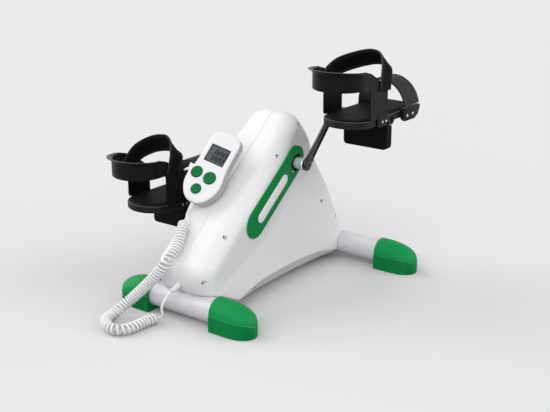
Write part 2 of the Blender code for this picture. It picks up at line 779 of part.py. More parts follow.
ANKLE_LOOP = {
    "right": [
        (-0.0488, -0.0880, 0.0770, 50.0),
        (-0.0485, -0.0740, 0.0890, 53.0),
        (-0.0420, -0.0500, 0.1025, 59.0),
        (-0.0200, -0.0250, 0.1130, 60.0),
        (0.0080, -0.0095, 0.1200, 58.0),
        (0.0360, -0.0140, 0.1195, 46.0),
        (0.0510, -0.0270, 0.1090, 20.0),
        (0.0552, -0.0350, 0.0900, 2.0),
        (0.0552, -0.0370, 0.0640, 0.0),
    ],
    "left": [
        (-0.0484, -0.0880, 0.0770, 52.0),
        (-0.0478, -0.0780, 0.0885, 57.0),
        (-0.0420, -0.0610, 0.1045, 65.0),
        (-0.0160, -0.0435, 0.1200, 71.0),
        (0.0220, -0.0430, 0.1270, 70.0),
        (0.0450, -0.0490, 0.1200, 40.0),
        (0.0546, -0.0575, 0.1070, 12.0),
        (0.0552, -0.0640, 0.0890, -6.0),
        (0.0552, -0.0680, 0.0730, -10.0),
    ],
}
TOE_LOOP = [
    (-0.0515, -0.004),
    (-0.0515, 0.026),
    (-0.0410, 0.050),
    (-0.0160, 0.0650),
    (0.0080, 0.0670),
    (0.0330, 0.0550),
    (0.0480, 0.036),
    (0.0540, 0.0185),
]


def build_pedal(word, side):
    turn = CRANK_ANGLE if side > 0 else CRANK_ANGLE + math.pi
    at = empty(
        f"pedal_{word}_axis",
        (side * PEDAL_X, CRANK_Y + CRANK_RADIUS * math.cos(turn), CRANK_Z + CRANK_RADIUS * math.sin(turn)),
    )
    here = (0.0, 0.0)
    inner = side * (ARM_INNER + 0.0005 - PEDAL_X)
    outer = side * (ARM_INNER + ARM_THICKNESS - PEDAL_X)
    near = -side * (PLATE_HALF_WIDTH + 0.0008)
    far = side * (PLATE_HALF_WIDTH - 0.002)
    r = SPINDLE_RADIUS
    profile = [(inner, 0.0), (inner, r), (outer + side * GAP, r), (outer + side * GAP, 0.0095)]
    profile += [(near, 0.0095), (near, r), (far, r), (far, 0.0)]
    turned(f"pedal_spindle_{word}", profile, here, "chrome", at, sides=20)
    outline = pedal_plate_outline()
    plate = prism(f"foot_plate_{word}", outline, "Z", PLATE_BOTTOM, PLATE_TOP, "black_plastic", at)
    bevel(plate, 0.002, 1)
    half = PLATE_HALF_WIDTH
    hub = cylinder(f"join_hub_{word}", -half + 0.001, half - 0.001, HUB_RADIUS, here, helper=True)
    bore = cylinder(f"cut_hub_{word}", -half - 0.01, half + 0.01, r + AXLE_CLEARANCE, here, helper=True)
    hub.parent = at
    bore.parent = at
    boolean(plate, hub, "UNION")
    boolean(plate, bore)
    rings = []
    for (x, y), (dx, dy), low, rim, flare in cup_stations():
        ring = []
        for inset, z in (
            (0.0, low),
            (0.0, rim - 0.010),
            (-flare, rim),
            (CUP_WALL * 0.8 - flare, rim + 0.0004),
            (CUP_WALL, rim - 0.008),
            (CUP_WALL, low),
        ):
            ring.append((x - dx * inset, y - dy * inset, z))
        rings.append(ring)
    loft(f"heel_cup_{word}", rings, "black_plastic", at)
    start, end = WEIGHT_Y
    weight = [
        (start, PLATE_BOTTOM - GAP),
        (-0.0113, PLATE_BOTTOM - GAP),
        (-0.0085, -0.0085),
        (-0.0010, -0.0113),
        (end, -0.0113),
        (end, WEIGHT_BOTTOM + 0.002),
        (end - 0.002, WEIGHT_BOTTOM),
        (start + 0.002, WEIGHT_BOTTOM),
        (start, WEIGHT_BOTTOM + 0.002),
    ]
    prism(f"counterweight_{word}", weight, "X", -half, half, "dark_steel", at)
    ankle = smooth_path(ANKLE_LOOP[word], 2)
    band(f"ankle_strap_{word}", ankle, 0.036, STRAP, "webbing", at)
    toe = smooth_path([(x, 0.0675, z, 0.0) for x, z in TOE_LOOP], 2)
    band(f"toe_strap_{word}", toe, 0.055, STRAP, "webbing", at)
    buckle = [(0.0300, -0.0040), (0.0360, -0.0095), (0.0720, -0.0095), (0.0850, -0.0030)]
    buckle += [(0.0920, 0.0100), (0.0920, 0.0170), (0.0300, 0.0170)]
    prism(f"strap_buckle_{word}", buckle, "X", half + GAP, half + 0.0098, "black_plastic", at)


# Handset and its cradle
def handset_outline():
    """Outline in the handset's own plane, widest in its lower third."""
    side = smooth_path(
        [
            (0.0130, 0.0750),
            (0.0260, 0.0705),
            (0.0320, 0.0580),
            (0.0325, 0.0250),
            (0.0345, -0.0020),
            (0.0385, -0.0270),
            (0.0355, -0.0480),
            (0.0240, -0.0665),
            (0.0110, -0.0750),
        ],
        2,
    )
    return [(x, y) for x, y in side] + [(-x, y) for x, y in side[::-1]]


def inset_outline(amount):
    points = handset_outline()
    moved = []
    for i, point in enumerate(points):
        before = Vector(points[i - 1])
        after = Vector(points[(i + 1) % len(points)])
        along = (after - before).normalized()
        moved.append((point[0] + along[1] * amount, point[1] - along[0] * amount))
    return moved


def build_handset():
    at = empty("handset_frame", HANDSET_CENTRE)
    at.rotation_euler = HANDSET_MATRIX.to_euler()

    def shell(name, levels, inside, kind):
        rings = [[(x, y, z) for x, y in inset_outline(inset)] for inset, z in levels + inside]
        return loft(name, rings, kind, at)

    front_depth = HANDSET_FRONT_DEPTH
    back = HANDSET_BACK_DEPTH
    wall = HANDSET_WALL
    front = shell(
        "handset_front",
        [(0.0060, 0.0), (0.0025, -0.0008), (0.0006, -0.0035), (0.0, -front_depth)],
        [(wall, -front_depth), (wall + 0.001, -0.0045), (wall + 0.005, -wall - 0.0006)],
        "white_plastic",
    )
    seam = -front_depth - SEAM
    shell(
        "handset_back",
        [(0.0110, seam - back), (0.0040, seam - back + 0.0030), (0.0006, seam - back + 0.0085), (0.0, seam)],
        [(wall, seam), (wall + 0.001, seam - back + 0.0090), (0.0135, seam - back + wall)],
        "grey_plastic",
    )
    wide, high = LCD_SIZE
    window = block(
        "cut_window",
        (-wide / 2 - GAP, LCD_CENTRE_UP - high / 2 - GAP, -0.01),
        (wide / 2 + GAP, LCD_CENTRE_UP + high / 2 + GAP, 0.01),
        None,
        at,
        True,
    )
    boolean(front, window)
    block(
        "handset_lens",
        (-wide / 2, LCD_CENTRE_UP - high / 2, -0.0030),
        (wide / 2, LCD_CENTRE_UP + high / 2, -0.0006),
        "lcd",
        at,
    )
    upright = Matrix.Rotation(-math.pi / 2, 4, "Y")
    for name, x, y, radius in BUTTONS:
        shift = Matrix.Translation((x, y, 0.0))
        hole = turned(
            f"cut_{name}",
            [(-0.01, 0.0), (-0.01, radius + 0.0004), (0.01, radius + 0.0004), (0.01, 0.0)],
            (0.0, 0.0),
            None,
            at,
            helper=True,
            sides=20,
            matrix=shift @ upright,
        )
        boolean(front, hole)
        turned(
            name,
            [(-0.0050, 0.0), (-0.0050, radius), (0.0012, radius), (0.0022, radius * 0.8), (0.0025, 0.0)],
            (0.0, 0.0),
            "green_plastic",
            at,
            sides=20,
            matrix=shift @ upright,
        )
    board = [(x, y, z) for z in (-0.0100, -0.0084) for x, y in inset_outline(0.0031)]
    count = len(board) // 2
    faces = [tuple(range(count)), tuple(range(count, 2 * count))]
    faces += [(i, (i + 1) % count, count + (i + 1) % count, count + i) for i in range(count)]
    add("handset_board", board, faces, "board_green", at)
    lean = Matrix.Translation((0.0, -0.0753, -0.0125)) @ Matrix.Rotation(math.pi / 2, 4, "Z")
    turned(
        "handset_strain_relief",
        [(-0.0160, 0.0), (-0.0160, 0.0034), (0.0, 0.0052), (0.0, 0.0)],
        (0.0, 0.0),
        "grey_plastic",
        at,
        sides=16,
        matrix=lean,
    )
    return at


def build_cradle():
    turn = HANDSET_MATRIX
    centre = Vector(HANDSET_CENTRE)
    depth = -HANDSET_FRONT_DEPTH - SEAM - HANDSET_BACK_DEPTH - 0.0006
    top = [(-0.019, 0.045), (0.019, 0.045), (0.019, -0.020), (-0.019, -0.020)]
    upper = [centre + turn @ Vector((x, y, depth)) for x, y in top]
    normal = Vector((0.0, -math.sin(SLOPE), math.cos(SLOPE)))
    foot = Vector((0.0, SLOPE_FOOT[0], SLOPE_FOOT[1]))
    lower = []
    for point in upper:
        height = (point - foot).dot(normal) - 0.0004
        lower.append(point - normal * height)
    middle = sum(lower, Vector()) / 4
    lower = [middle + (p - middle) * 1.12 for p in lower]
    made = loft("handset_cradle", [[tuple(p) for p in upper], [tuple(p) for p in lower]], "grey_plastic")
    bevel(made, 0.002, 1)


# Cord from the handset to the socket in the nose
LEAD = [(-0.0310, 0.0400, 0.1830)]
COIL = [
    (-0.0322, 0.0323, 0.1738),
    (-0.0232, 0.0126, 0.1583),
    (-0.0150, -0.0105, 0.1405),
    (-0.0150, -0.0370, 0.1216),
    (-0.0336, -0.0470, 0.0936),
    (-0.0640, -0.0545, 0.0601),
    (-0.0930, -0.0650, 0.0300),
    (-0.1040, -0.0930, 0.0124),
    (-0.0980, -0.1190, 0.0118),
    (-0.0780, -0.1370, 0.0118),
    (-0.0540, -0.1430, 0.0118),
    (-0.0370, -0.1310, 0.0118),
    (-0.0320, -0.1080, 0.0118),
    (-0.0320, -0.0820, 0.0118),
    (-0.0270, -0.0600, 0.0118),
]
TAIL = [(-0.0060, -0.0640, 0.0220), (-0.0035, -0.0660, 0.0450)]


def coil_centre():
    """The coil's centre line at even steps, its bends softened, with its direction and bend radius."""
    route = smooth_path(COIL, 24)
    steps = np.linalg.norm(np.diff(route, axis=0), axis=1)
    along = np.concatenate([[0.0], np.cumsum(steps)])
    fine = np.linspace(0.0, along[-1], 1500)
    centre = np.stack([np.interp(fine, along, route[:, k]) for k in range(3)], axis=1)
    reach = int(BEND_SOFTENING / along[-1] * 1500)
    for _ in range(3):
        padded = np.concatenate(
            [2 * centre[0] - centre[reach:0:-1], centre, 2 * centre[-1] - centre[-2 : -reach - 2 : -1]]
        )
        sums = np.cumsum(np.vstack([np.zeros(3), padded]), axis=0)
        centre = (sums[2 * reach + 1 :] - sums[: -2 * reach - 1]) / (2 * reach + 1)
    step = np.gradient(centre, axis=0)
    length = np.linalg.norm(step, axis=1)
    tangent = step / length[:, None]
    bend = np.linalg.norm(np.gradient(tangent, axis=0), axis=1) / length
    return centre, tangent, length, 1.0 / np.maximum(bend, 1e-3)


def coil_points():
    """One unbroken helix along the coil's route, closer wound where it hangs than where it lies."""
    centre, tangent, length, radius = coil_centre()
    share = np.clip((np.linspace(0.0, 1.0, len(centre)) - 0.45) / 0.12, 0.0, 1.0)
    pitch = TIGHT_PITCH + (OPEN_PITCH - TIGHT_PITCH) * share
    opened = (CORD_DIAMETER + BEND_GAP) * radius / np.maximum(radius - COIL_RADIUS, 0.004)
    pitch = np.maximum(pitch, opened)
    phase = np.concatenate([[0.0], np.cumsum((length / pitch)[1:])])
    side = np.zeros_like(centre)
    current = np.cross(tangent[0], (0.0, 0.0, 1.0))
    for i in range(len(centre)):
        current = current - tangent[i] * np.dot(current, tangent[i])
        current /= np.linalg.norm(current)
        side[i] = current
    other = np.cross(tangent, side)
    curls = int(phase[-1])
    at = np.linspace(0.0, phase[-1], curls * POINTS_PER_CURL + 1)
    found = []
    for turn in at:
        place = np.array([np.interp(turn, phase, centre[:, k]) for k in range(3)])
        i = min(int(np.searchsorted(phase, turn)), len(centre) - 1)
        angle = 2 * math.pi * turn + COIL_START
        found.append(place + COIL_RADIUS * (math.cos(angle) * side[i] + math.sin(angle) * other[i]))
    return np.array(found), curls


COIL_START = math.radians(200.0)


def tube(name, points, kind, resolution):
    data = bpy.data.curves.new(name, "CURVE")
    data.dimensions = "3D"
    data.bevel_depth = CORD_DIAMETER / 2
    data.bevel_resolution = resolution
    data.use_fill_caps = True
    spline = data.splines.new("POLY")
    spline.points.add(len(points) - 1)
    for point, place in zip(spline.points, points):
        point.co = (*place, 1.0)
    obj = bpy.data.objects.new(name, data)
    bpy.context.scene.collection.objects.link(obj)
    data.materials.append(new_material(name, kind))
    return obj


def least_gap(points, skip):
    """Least distance between stretches of the coil that are more than skip points apart, less the cord."""
    middle = (points[1:] + points[:-1]) / 2
    every = np.concatenate([points, middle])
    order = np.concatenate([np.arange(len(points)), np.arange(len(middle)) + 0.5])
    least = 1.0
    for i, point in enumerate(every):
        apart = np.abs(order - order[i]) > skip
        least = min(least, np.linalg.norm(every[apart] - point, axis=1).min())
    return least - CORD_DIAMETER


def build_cord():
    coil, curls = coil_points()
    print("curls", curls, "least gap mm", round(1000 * least_gap(coil, POINTS_PER_CURL * 0.6), 2))
    tube("curly_cord", coil, "white_plastic", 1)
    start = coil[0] - coil[1]
    start /= np.linalg.norm(start)
    end = coil[-1] - coil[-2]
    end /= np.linalg.norm(end)
    exit_point = HANDSET_MATRIX @ Vector((0.0, -0.0753 - 0.0163, -0.0125)) + Vector(HANDSET_CENTRE)
    way = HANDSET_MATRIX @ Vector((0.0, -1.0, 0.0))
    first = np.array(exit_point)
    second = first + np.array(way) * CORD_DIAMETER
    last = coil[0] + start * GAP
    before = last + start * CORD_DIAMETER
    lead = smooth_path([second, *LEAD, before], 5)
    tube("handset_lead", np.vstack([first, lead, last]), "white_plastic", 2)
    plug_end = np.array(PLUG_FRAME @ Vector((-PLUG_LENGTH - GAP, 0.0, 0.0)))
    plug_before = np.array(PLUG_FRAME @ Vector((-PLUG_LENGTH - GAP - CORD_DIAMETER, 0.0, 0.0)))
    first = coil[-1] + end * GAP
    second = first + end * CORD_DIAMETER
    tail = smooth_path([second, *TAIL, plug_before], 6)
    tube("cord_tail", np.vstack([first, tail, plug_end]), "white_plastic", 2)
    profile = [(-PLUG_LENGTH, 0.0), (-PLUG_LENGTH, 0.0034), (-0.0160, 0.0050), (-0.0150, 0.0056)]
    profile += [(-0.0004, 0.0056), (-0.0004, 0.0022), (0.0090, 0.0022), (0.0100, 0.0)]
    turned("cord_plug", profile, (0.0, 0.0), "grey_plastic", sides=16, matrix=PLUG_FRAME)
    profile = [(0.0106, 0.0), (0.0106, 0.0026), (0.0, 0.0026), (0.0, 0.0082), (0.0140, 0.0082), (0.0140, 0.0)]
    turned("cord_socket", profile, (0.0, 0.0), "black_plastic", sides=16, matrix=PLUG_FRAME)


# Frames of the fitted pieces
HANDSET_MATRIX = (
    Matrix.Rotation(SLOPE, 3, "X") @ Euler([math.radians(a) for a in HANDSET_TURN], "XYZ").to_matrix()
)
PLUG_LENGTH = 0.0250
PLUG_FRAME = Matrix.Translation((0.0, -0.0208, 0.0735)) @ (
    Matrix.Rotation(math.radians(15.2), 4, "X") @ Matrix.Rotation(math.pi / 2, 4, "Z")
)
REAR_FACE = ((rearward(0.7383), 0.1755), (rearward(0.9215), 0.1035))
REAR_LEAN = math.atan2(REAR_FACE[1][0] - REAR_FACE[0][0], REAR_FACE[0][1] - REAR_FACE[1][1])
SOCKET_DROP = REAR_FACE[0][1] - 0.1330
SOCKET_Y = REAR_FACE[0][0] + SOCKET_DROP * math.tan(REAR_LEAN)
REAR_TURN = Matrix.Rotation(REAR_LEAN, 4, "X") @ Matrix.Rotation(math.pi / 2, 4, "Z")
INLET_FRAME = Matrix.Translation((0.0200, SOCKET_Y, 0.1330)) @ REAR_TURN
SWITCH_FRAME = Matrix.Translation((-0.0190, SOCKET_Y, 0.1330)) @ REAR_TURN

clear_scene()
build_feet()
build_housing()
build_panels()
build_frame()
crank_at = empty("crank_axis", (0.0, CRANK_Y, CRANK_Z))
belt_groove = build_drive(crank_at)
build_motor(crank_at, belt_groove)
build_electrics()
build_pedal("right", 1)
build_pedal("left", -1)
build_handset()
build_cradle()
build_cord()
for root in list(bpy.data.objects):
    if root.parent is None:
        root.location.y -= TUBE_SPACING / 2
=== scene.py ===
"""Looks of the chair pedal exerciser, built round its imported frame. Metres, in the frame's own axes."""

import json
from math import acos, atan2, cos, hypot, pi, radians, sin, sqrt, tan

import bmesh
import bpy
import numpy as np
from mathutils import Euler, Matrix, Vector
from mathutils.bvhtree import BVHTree
from mathutils.geometry import delaunay_2d_cdt

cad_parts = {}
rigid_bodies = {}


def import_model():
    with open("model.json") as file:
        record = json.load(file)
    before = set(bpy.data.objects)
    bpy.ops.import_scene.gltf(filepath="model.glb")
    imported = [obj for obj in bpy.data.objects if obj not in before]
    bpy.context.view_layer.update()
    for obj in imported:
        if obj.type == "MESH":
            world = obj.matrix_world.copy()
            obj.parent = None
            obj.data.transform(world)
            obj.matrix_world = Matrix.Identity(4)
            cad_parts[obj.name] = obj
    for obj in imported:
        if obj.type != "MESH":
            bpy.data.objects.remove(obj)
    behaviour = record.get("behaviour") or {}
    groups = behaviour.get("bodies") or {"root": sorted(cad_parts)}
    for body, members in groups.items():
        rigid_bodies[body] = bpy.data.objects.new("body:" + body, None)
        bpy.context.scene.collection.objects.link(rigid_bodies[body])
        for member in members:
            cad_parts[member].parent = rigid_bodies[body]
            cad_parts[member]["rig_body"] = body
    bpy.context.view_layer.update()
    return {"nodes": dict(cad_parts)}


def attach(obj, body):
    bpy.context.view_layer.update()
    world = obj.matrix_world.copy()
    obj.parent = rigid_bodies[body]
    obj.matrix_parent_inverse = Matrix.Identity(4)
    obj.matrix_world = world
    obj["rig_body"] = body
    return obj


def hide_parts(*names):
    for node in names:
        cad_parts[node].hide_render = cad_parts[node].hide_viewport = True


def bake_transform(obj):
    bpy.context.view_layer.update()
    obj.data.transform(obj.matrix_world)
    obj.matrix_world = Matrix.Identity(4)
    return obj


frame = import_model()


def mm(rows):
    """Rows written in millimetres or thousandths, in metres or ones."""
    return [tuple(v / 1000 for v in row) for row in rows]


def shift(x, y, z):
    return Matrix.Translation((x, y, z))


# Sizes shared with the part, measured from the near cross tube's axis
TUBE_RADIUS = 0.025
TUBE_WALL = 0.0018
TUBE_HEIGHT = 0.0318
TUBE_SPACING = 0.4577
CAP_INNER = {"near": 0.076, "far": 0.1489}
CAP_HALF_WIDTH = 0.0299
CAP_SOCKET = 0.034
HALF_WIDTH = 0.0635
WALL = 0.003
SADDLE_CLEARANCE = 0.0006
SLOPE = radians(39.6)
SLOPE_FOOT = (-0.0163, 0.1169)
BOTTOM = 0.021
CRANK = (0.264, 0.2577)
CRANK_RADIUS = 0.131
CRANK_ANGLE = radians(45.0)
ARM_INNER = 0.086
ARM_THICKNESS = 0.007
PEDAL_X = 0.175
STRAP = 0.0024
HANDSET_CENTRE = (-0.0195, 0.0988, 0.2716)
HANDSET_TURN = (9.9, 15.2, -4.0)
CORD_DIAMETER = 0.0047
COIL_RADIUS = 0.0088
PLUG_LENGTH = 0.025

SIDES = ((1, "right"), (-1, "left"))
ROW = shift(0.0, -TUBE_SPACING / 2, 0.0)
CRANK_AT = shift(0.0, *CRANK)
FACING_Y = Matrix.Rotation(pi / 2, 4, "Z")
FACING_UP = Matrix.Rotation(-pi / 2, 4, "Y")


# Camera
lens = bpy.data.cameras.new("camera")
lens.lens = 69.99
lens.sensor_width = 36.0
camera = bpy.data.objects.new("camera", lens)
camera.location = (1.25484, -1.63132, 0.8325)
camera.rotation_euler = (radians(90 - 18.0095), 0.0, radians(36.7416))
bpy.context.scene.collection.objects.link(camera)
bpy.context.scene.camera = camera
bpy.context.scene.view_settings.view_transform = "Standard"


# Lines and outlines
def smooth(points, samples):
    """Catmull-Rom curve through the points, with this many steps in each span."""
    points = np.array(points, float)
    ends = np.vstack([2 * points[0] - points[1], points, 2 * points[-1] - points[-2]])
    t = np.arange(samples)[:, None] / samples
    found = []
    for before, start, end, after in zip(ends, ends[1:], ends[2:], ends[3:]):
        square = 2 * before - 5 * start + 4 * end - after
        cube = 3 * start - before - 3 * end + after
        found.append(0.5 * (2 * start + (end - before) * t + square * t**2 + cube * t**3))
    return np.vstack([*found, points[-1:]])


def directions(line):
    """Unit directions along a line of points."""
    along = np.gradient(line, axis=0)
    return along / np.linalg.norm(along, axis=1)[:, None]


def lengths_along(line):
    return np.concatenate([[0.0], np.cumsum(np.linalg.norm(np.diff(line, axis=0), axis=1))])


def arc(centre, radius, start, sweep, steps):
    """Points on an arc, its start and sweep in half turns."""
    angles = [pi * (start + sweep * k / steps) for k in range(steps + 1)]
    return [(centre[0] + radius * cos(a), centre[1] + radius * sin(a)) for a in angles]


def stadium(a, b, radius, sides):
    along = atan2(b[1] - a[1], b[0] - a[0]) / pi
    return arc(b, radius, along - 0.5, 1, sides) + arc(a, radius, along + 0.5, 1, sides)


def rounded(wide, high, centre, radius, steps=6):
    """A rectangle with round corners."""
    outline = []
    for sx, sy, start in ((1, 1, 0.0), (-1, 1, 0.5), (-1, -1, 1.0), (1, -1, 1.5)):
        corner = (centre[0] + sx * (wide / 2 - radius), centre[1] + sy * (high / 2 - radius))
        outline += arc(corner, radius, start, 0.5, steps)
    return outline


def inside(point, outline):
    """True where the point lies within the closed outline."""
    y, z = point
    hit = False
    for (y0, z0), (y1, z1) in zip(outline, outline[1:] + outline[:1]):
        if (z0 > z) != (z1 > z) and y < (y1 - y0) * (z - z0) / (z1 - z0) + y0:
            hit = not hit
    return hit


def nearest(point, outline):
    return min(hypot(point[0] - y, point[1] - z) for y, z in outline)


# Parts, each a pair of points and faces
def loft(rings, first=True, last=True):
    """A skin over closed rings of points, with a face over its first and its last ring."""
    count = len(rings[0])
    verts = [tuple(v) for ring in rings for v in ring]
    faces = []
    for start in range(0, len(verts) - count, count):
        for k in range(count):
            a, b = start + k, start + (k + 1) % count
            faces.append((a, b, b + count, a + count))
    if first:
        faces.append(tuple(range(count)))
    if last:
        faces.append(tuple(range(len(verts) - count, len(verts))))
    return verts, faces


def turned(profile, sides=48, ring=False, side=1):
    """A profile of (x, radius) turned about X, mirrored where side is -1. A ring profile closes on itself."""
    angles = [2 * pi * k / sides for k in range(sides)]
    rings = [[(side * x, r * cos(a), r * sin(a)) for a in angles] for x, r in profile]
    return loft(rings + rings[:1] if ring else rings, False, False)


def rod(low, high, radius, sides=32):
    return turned([(low, 0.0), (low, radius), (high, radius), (high, 0.0)], sides)


def prism(outline, low, high, axis="X"):
    """An outline of two coordinates, drawn out along the third axis."""
    at = "XYZ".index(axis)
    return loft([[(*p[:at], level, *p[at:]) for p in outline] for level in (low, high)])


def block(low, high):
    outline = [(low[0], low[1]), (high[0], low[1]), (high[0], high[1]), (low[0], high[1])]
    return prism(outline, low[2], high[2], "Z")


def carried(tangent, side):
    """Two ways across a line, from its unit directions, carried along it without twist."""
    sides = []
    for way in tangent:
        side = side - way * np.dot(side, way)
        side /= np.linalg.norm(side)
        sides.append(side)
    return np.array(sides), np.cross(tangent, sides)


def tube_along(points, radii, sides):
    points = np.array(points, float)
    tangent = directions(points)
    turn = [2 * pi * k / sides for k in range(sides)]
    rings = []
    ways = carried(tangent, np.cross(tangent[0], (0.3, 0.5, 0.8)))
    for point, radius, side, up in zip(points, radii, *ways):
        rings.append([point + radius * (cos(a) * side + sin(a) * up) for a in turn])
    return loft(rings)


def joined(parts):
    """Several parts as one."""
    verts, faces = [], []
    for some, corners in parts:
        start = len(verts)
        verts += list(some)
        faces += [tuple(start + i for i in face) for face in corners]
    return verts, faces


def moved(part, matrix):
    verts, faces = part
    return [matrix @ Vector(v) for v in verts], faces


# Pieces
def finish_mesh(mesh, sharp):
    mesh.shade_smooth()
    mesh.set_sharp_from_angle(angle=radians(sharp))


def make(name, part, look, body="base", place=ROW, sharp=32, uvs=None, node_name=None):
    """A piece that rides on a body. uvs, if given, holds one pair for each corner of each face."""
    mesh = bpy.data.meshes.new(name)
    mesh.from_pydata([tuple(v) for v in part[0]], [], part[1])
    if uvs is not None:
        layer = mesh.uv_layers.new(name="along")
        for corner, pair in zip(layer.data, uvs):
            corner.uv = pair
    work = bmesh.new()
    work.from_mesh(mesh)
    bmesh.ops.remove_doubles(work, verts=work.verts, dist=2e-6)
    bmesh.ops.recalc_face_normals(work, faces=work.faces)
    work.to_mesh(mesh)
    work.free()
    mesh.transform(place)
    finish_mesh(mesh, sharp)
    obj = bpy.data.objects.new(name, mesh)
    bpy.context.scene.collection.objects.link(obj)
    if look:
        mesh.materials.append(look)
    if body:
        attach(obj, body)
    if node_name:
        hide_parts(node_name)
    return obj


def cutter(part, place=ROW):
    """A helper for cut, which removes it."""
    return make("cutter", part, None, None, place)


def bake(obj, sharp=32):
    """Applies the object's modifiers."""
    graph = bpy.context.evaluated_depsgraph_get()
    mesh = bpy.data.meshes.new_from_object(obj.evaluated_get(graph))
    obj.modifiers.clear()
    obj.data = mesh
    finish_mesh(mesh, sharp)


def cut(obj, cutters, sharp=32, operation="DIFFERENCE"):
    """Cuts closed helpers out of the object, or joins or keeps what they share with it, and removes them."""
    for helper in cutters:
        modifier = obj.modifiers.new("cut", "BOOLEAN")
        modifier.operation = operation
        modifier.solver = "EXACT"
        modifier.object = helper
    bake(obj, sharp)
    for helper in cutters:
        bpy.data.objects.remove(helper)


def bevel(obj, width, segments=3, angle=35):
    modifier = obj.modifiers.new("edge", "BEVEL")
    modifier.width = width
    modifier.segments = segments
    modifier.limit_method = "ANGLE"
    modifier.angle_limit = radians(angle)
    bake(obj)


# Materials
def fill(tree, made, **inputs):
    """Links or sets a node's sockets by name, as in Base_Color, or by number, as in i0."""
    for key, value in inputs.items():
        socket = made.inputs[int(key[1:]) if key[1:].isdigit() else key.replace("_", " ")]
        if hasattr(value, "links"):
            tree.links.new(value, socket)
        else:
            socket.default_value = value
    return made


def node(tree, kind, settings=(), **inputs):
    made = tree.nodes.new("ShaderNode" + kind)
    for key, value in dict(settings).items():
        setattr(made, key, value)
    return fill(tree, made, **inputs)


def new_look(name):
    look = bpy.data.materials.new(name)
    look.use_nodes = True
    return look, look.node_tree


def finished(look, **inputs):
    """Links or sets the sockets of the look's shader."""
    fill(look.node_tree, look.node_tree.nodes["Principled BSDF"], **inputs)
    return look


def object_place(tree):
    return node(tree, "TexCoord").outputs["Object"]


def strap_place(tree):
    return node(tree, "UVMap", {"uv_map": "along"}).outputs["UV"]


def grain_of(tree, where, scale, detail):
    return node(tree, "TexNoise", Vector=where, Scale=scale, Detail=detail, Roughness=0.55).outputs["Fac"]


def span(tree, value, low, high, **limits):
    return node(tree, "MapRange", Value=value, To_Min=low, To_Max=high, **limits).outputs["Result"]


def maths(tree, operation, **inputs):
    return node(tree, "Math", {"operation": operation}, **inputs).outputs[0]


def bumps(tree, height, strength, distance):
    return node(tree, "Bump", Height=height, Strength=strength, Distance=distance).outputs["Normal"]


def tone(colour, factor):
    return tuple(min(1.0, c * factor) for c in colour)


def mixed(tree, share, a, b):
    a, b = (value if hasattr(value, "links") else (*value, 1.0) for value in (a, b))
    return node(tree, "Mix", {"data_type": "RGBA"}, i0=share, i6=a, i7=b).outputs[2]


def solid(name, colour, rough, spread, drift, grain, bump, metal=0.0, coat=0.0, wear_and_highlight=None, shine=0.5):
    """Moulded, painted or bare: mottled, unevenly glossy, finely grained and, if asked, paler at its edges:
    wear on the frame paint, a painted highlight on the black parts.
    """
    look, tree = new_look(name)
    where = object_place(tree)
    base = mixed(tree, grain_of(tree, where, 14.0, 4.0), tone(colour, 1 - drift), tone(colour, 1 + drift))
    # Pointiness pales the edges: a painted edge highlight on the black looks, wear on the frame paint
    if wear_and_highlight:
        edge = node(tree, "NewGeometry").outputs["Pointiness"]
        rubbed_and_lit_edges = span(tree, edge, 0.0, 1.0, From_Min=0.53, From_Max=0.62)
        patchy_wear_and_highlight = maths(tree, "MULTIPLY", i0=rubbed_and_lit_edges, i1=grain_of(tree, where, 160.0, 5.0))
        base = mixed(tree, patchy_wear_and_highlight, base, wear_and_highlight)
    gloss = span(tree, grain_of(tree, where, 55.0, 5.0), rough - spread, rough + spread)
    relief = bumps(tree, grain_of(tree, where, grain, 2.0), bump, 0.0004)
    finished(look, Base_Color=base, Roughness=gloss, Normal=relief, Metallic=metal)
    return finished(look, Specular_IOR_Level=shine, Coat_Weight=coat, Coat_Roughness=0.08)


def brushed(name, colour, rough, stretch):
    """Metal with fine turning or grinding marks along one way."""
    look, tree = new_look(name)
    where = object_place(tree)
    lines = grain_of(tree, node(tree, "Mapping", Vector=where, Scale=stretch).outputs["Vector"], 300.0, 4.0)
    base = mixed(tree, grain_of(tree, where, 30.0, 4.0), tone(colour, 0.86), colour)
    gloss = span(tree, lines, rough * 0.7, rough * 1.5)
    relief = bumps(tree, lines, 0.12, 0.0002)
    return finished(look, Base_Color=base, Roughness=gloss, Normal=relief, Metallic=1.0)


def bricks(tree, where, offset, colours, mortar, length, width, **more):
    """Staggered rows of bricks in two colours, as a weave or a board's tracks have them."""
    tints = dict(zip(("Color1", "Color2", "Mortar"), ((*c, 1.0) for c in colours)))
    sizes = {"Mortar_Size": mortar, "Brick_Width": length, "Row_Height": width}
    return node(tree, "TexBrick", {"offset": offset}, Vector=where, Scale=1.0, **tints, **sizes, **more)


def woven(name, colour, length, width, sheen):
    """Nylon webbing: crossing yarns laid along the strap's own length."""
    look, tree = new_look(name)
    along = strap_place(tree)
    tints = [tone(colour, factor) for factor in (0.75, 1.3, 0.35)]
    yarn = bricks(tree, along, 0.5, tints, width * 0.16, length, width, Mortar_Smooth=0.8)
    fuzz = grain_of(tree, along, 2600.0, 3.0)
    worn = span(tree, grain_of(tree, along, 60.0, 4.0), 0.0, 0.35)
    base = mixed(tree, worn, yarn.outputs["Color"], tone(colour, 1.9))
    low = maths(tree, "MULTIPLY", i0=yarn.outputs["Fac"], i1=-1.0)
    relief = bumps(tree, maths(tree, "MULTIPLY_ADD", i0=fuzz, i1=0.4, i2=low), 0.7, 0.0003)
    finished(look, Base_Color=base, Roughness=span(tree, fuzz, 0.62, 0.9), Normal=relief)
    return finished(look, Specular_IOR_Level=0.07, Sheen_Weight=sheen, Sheen_Roughness=0.4)


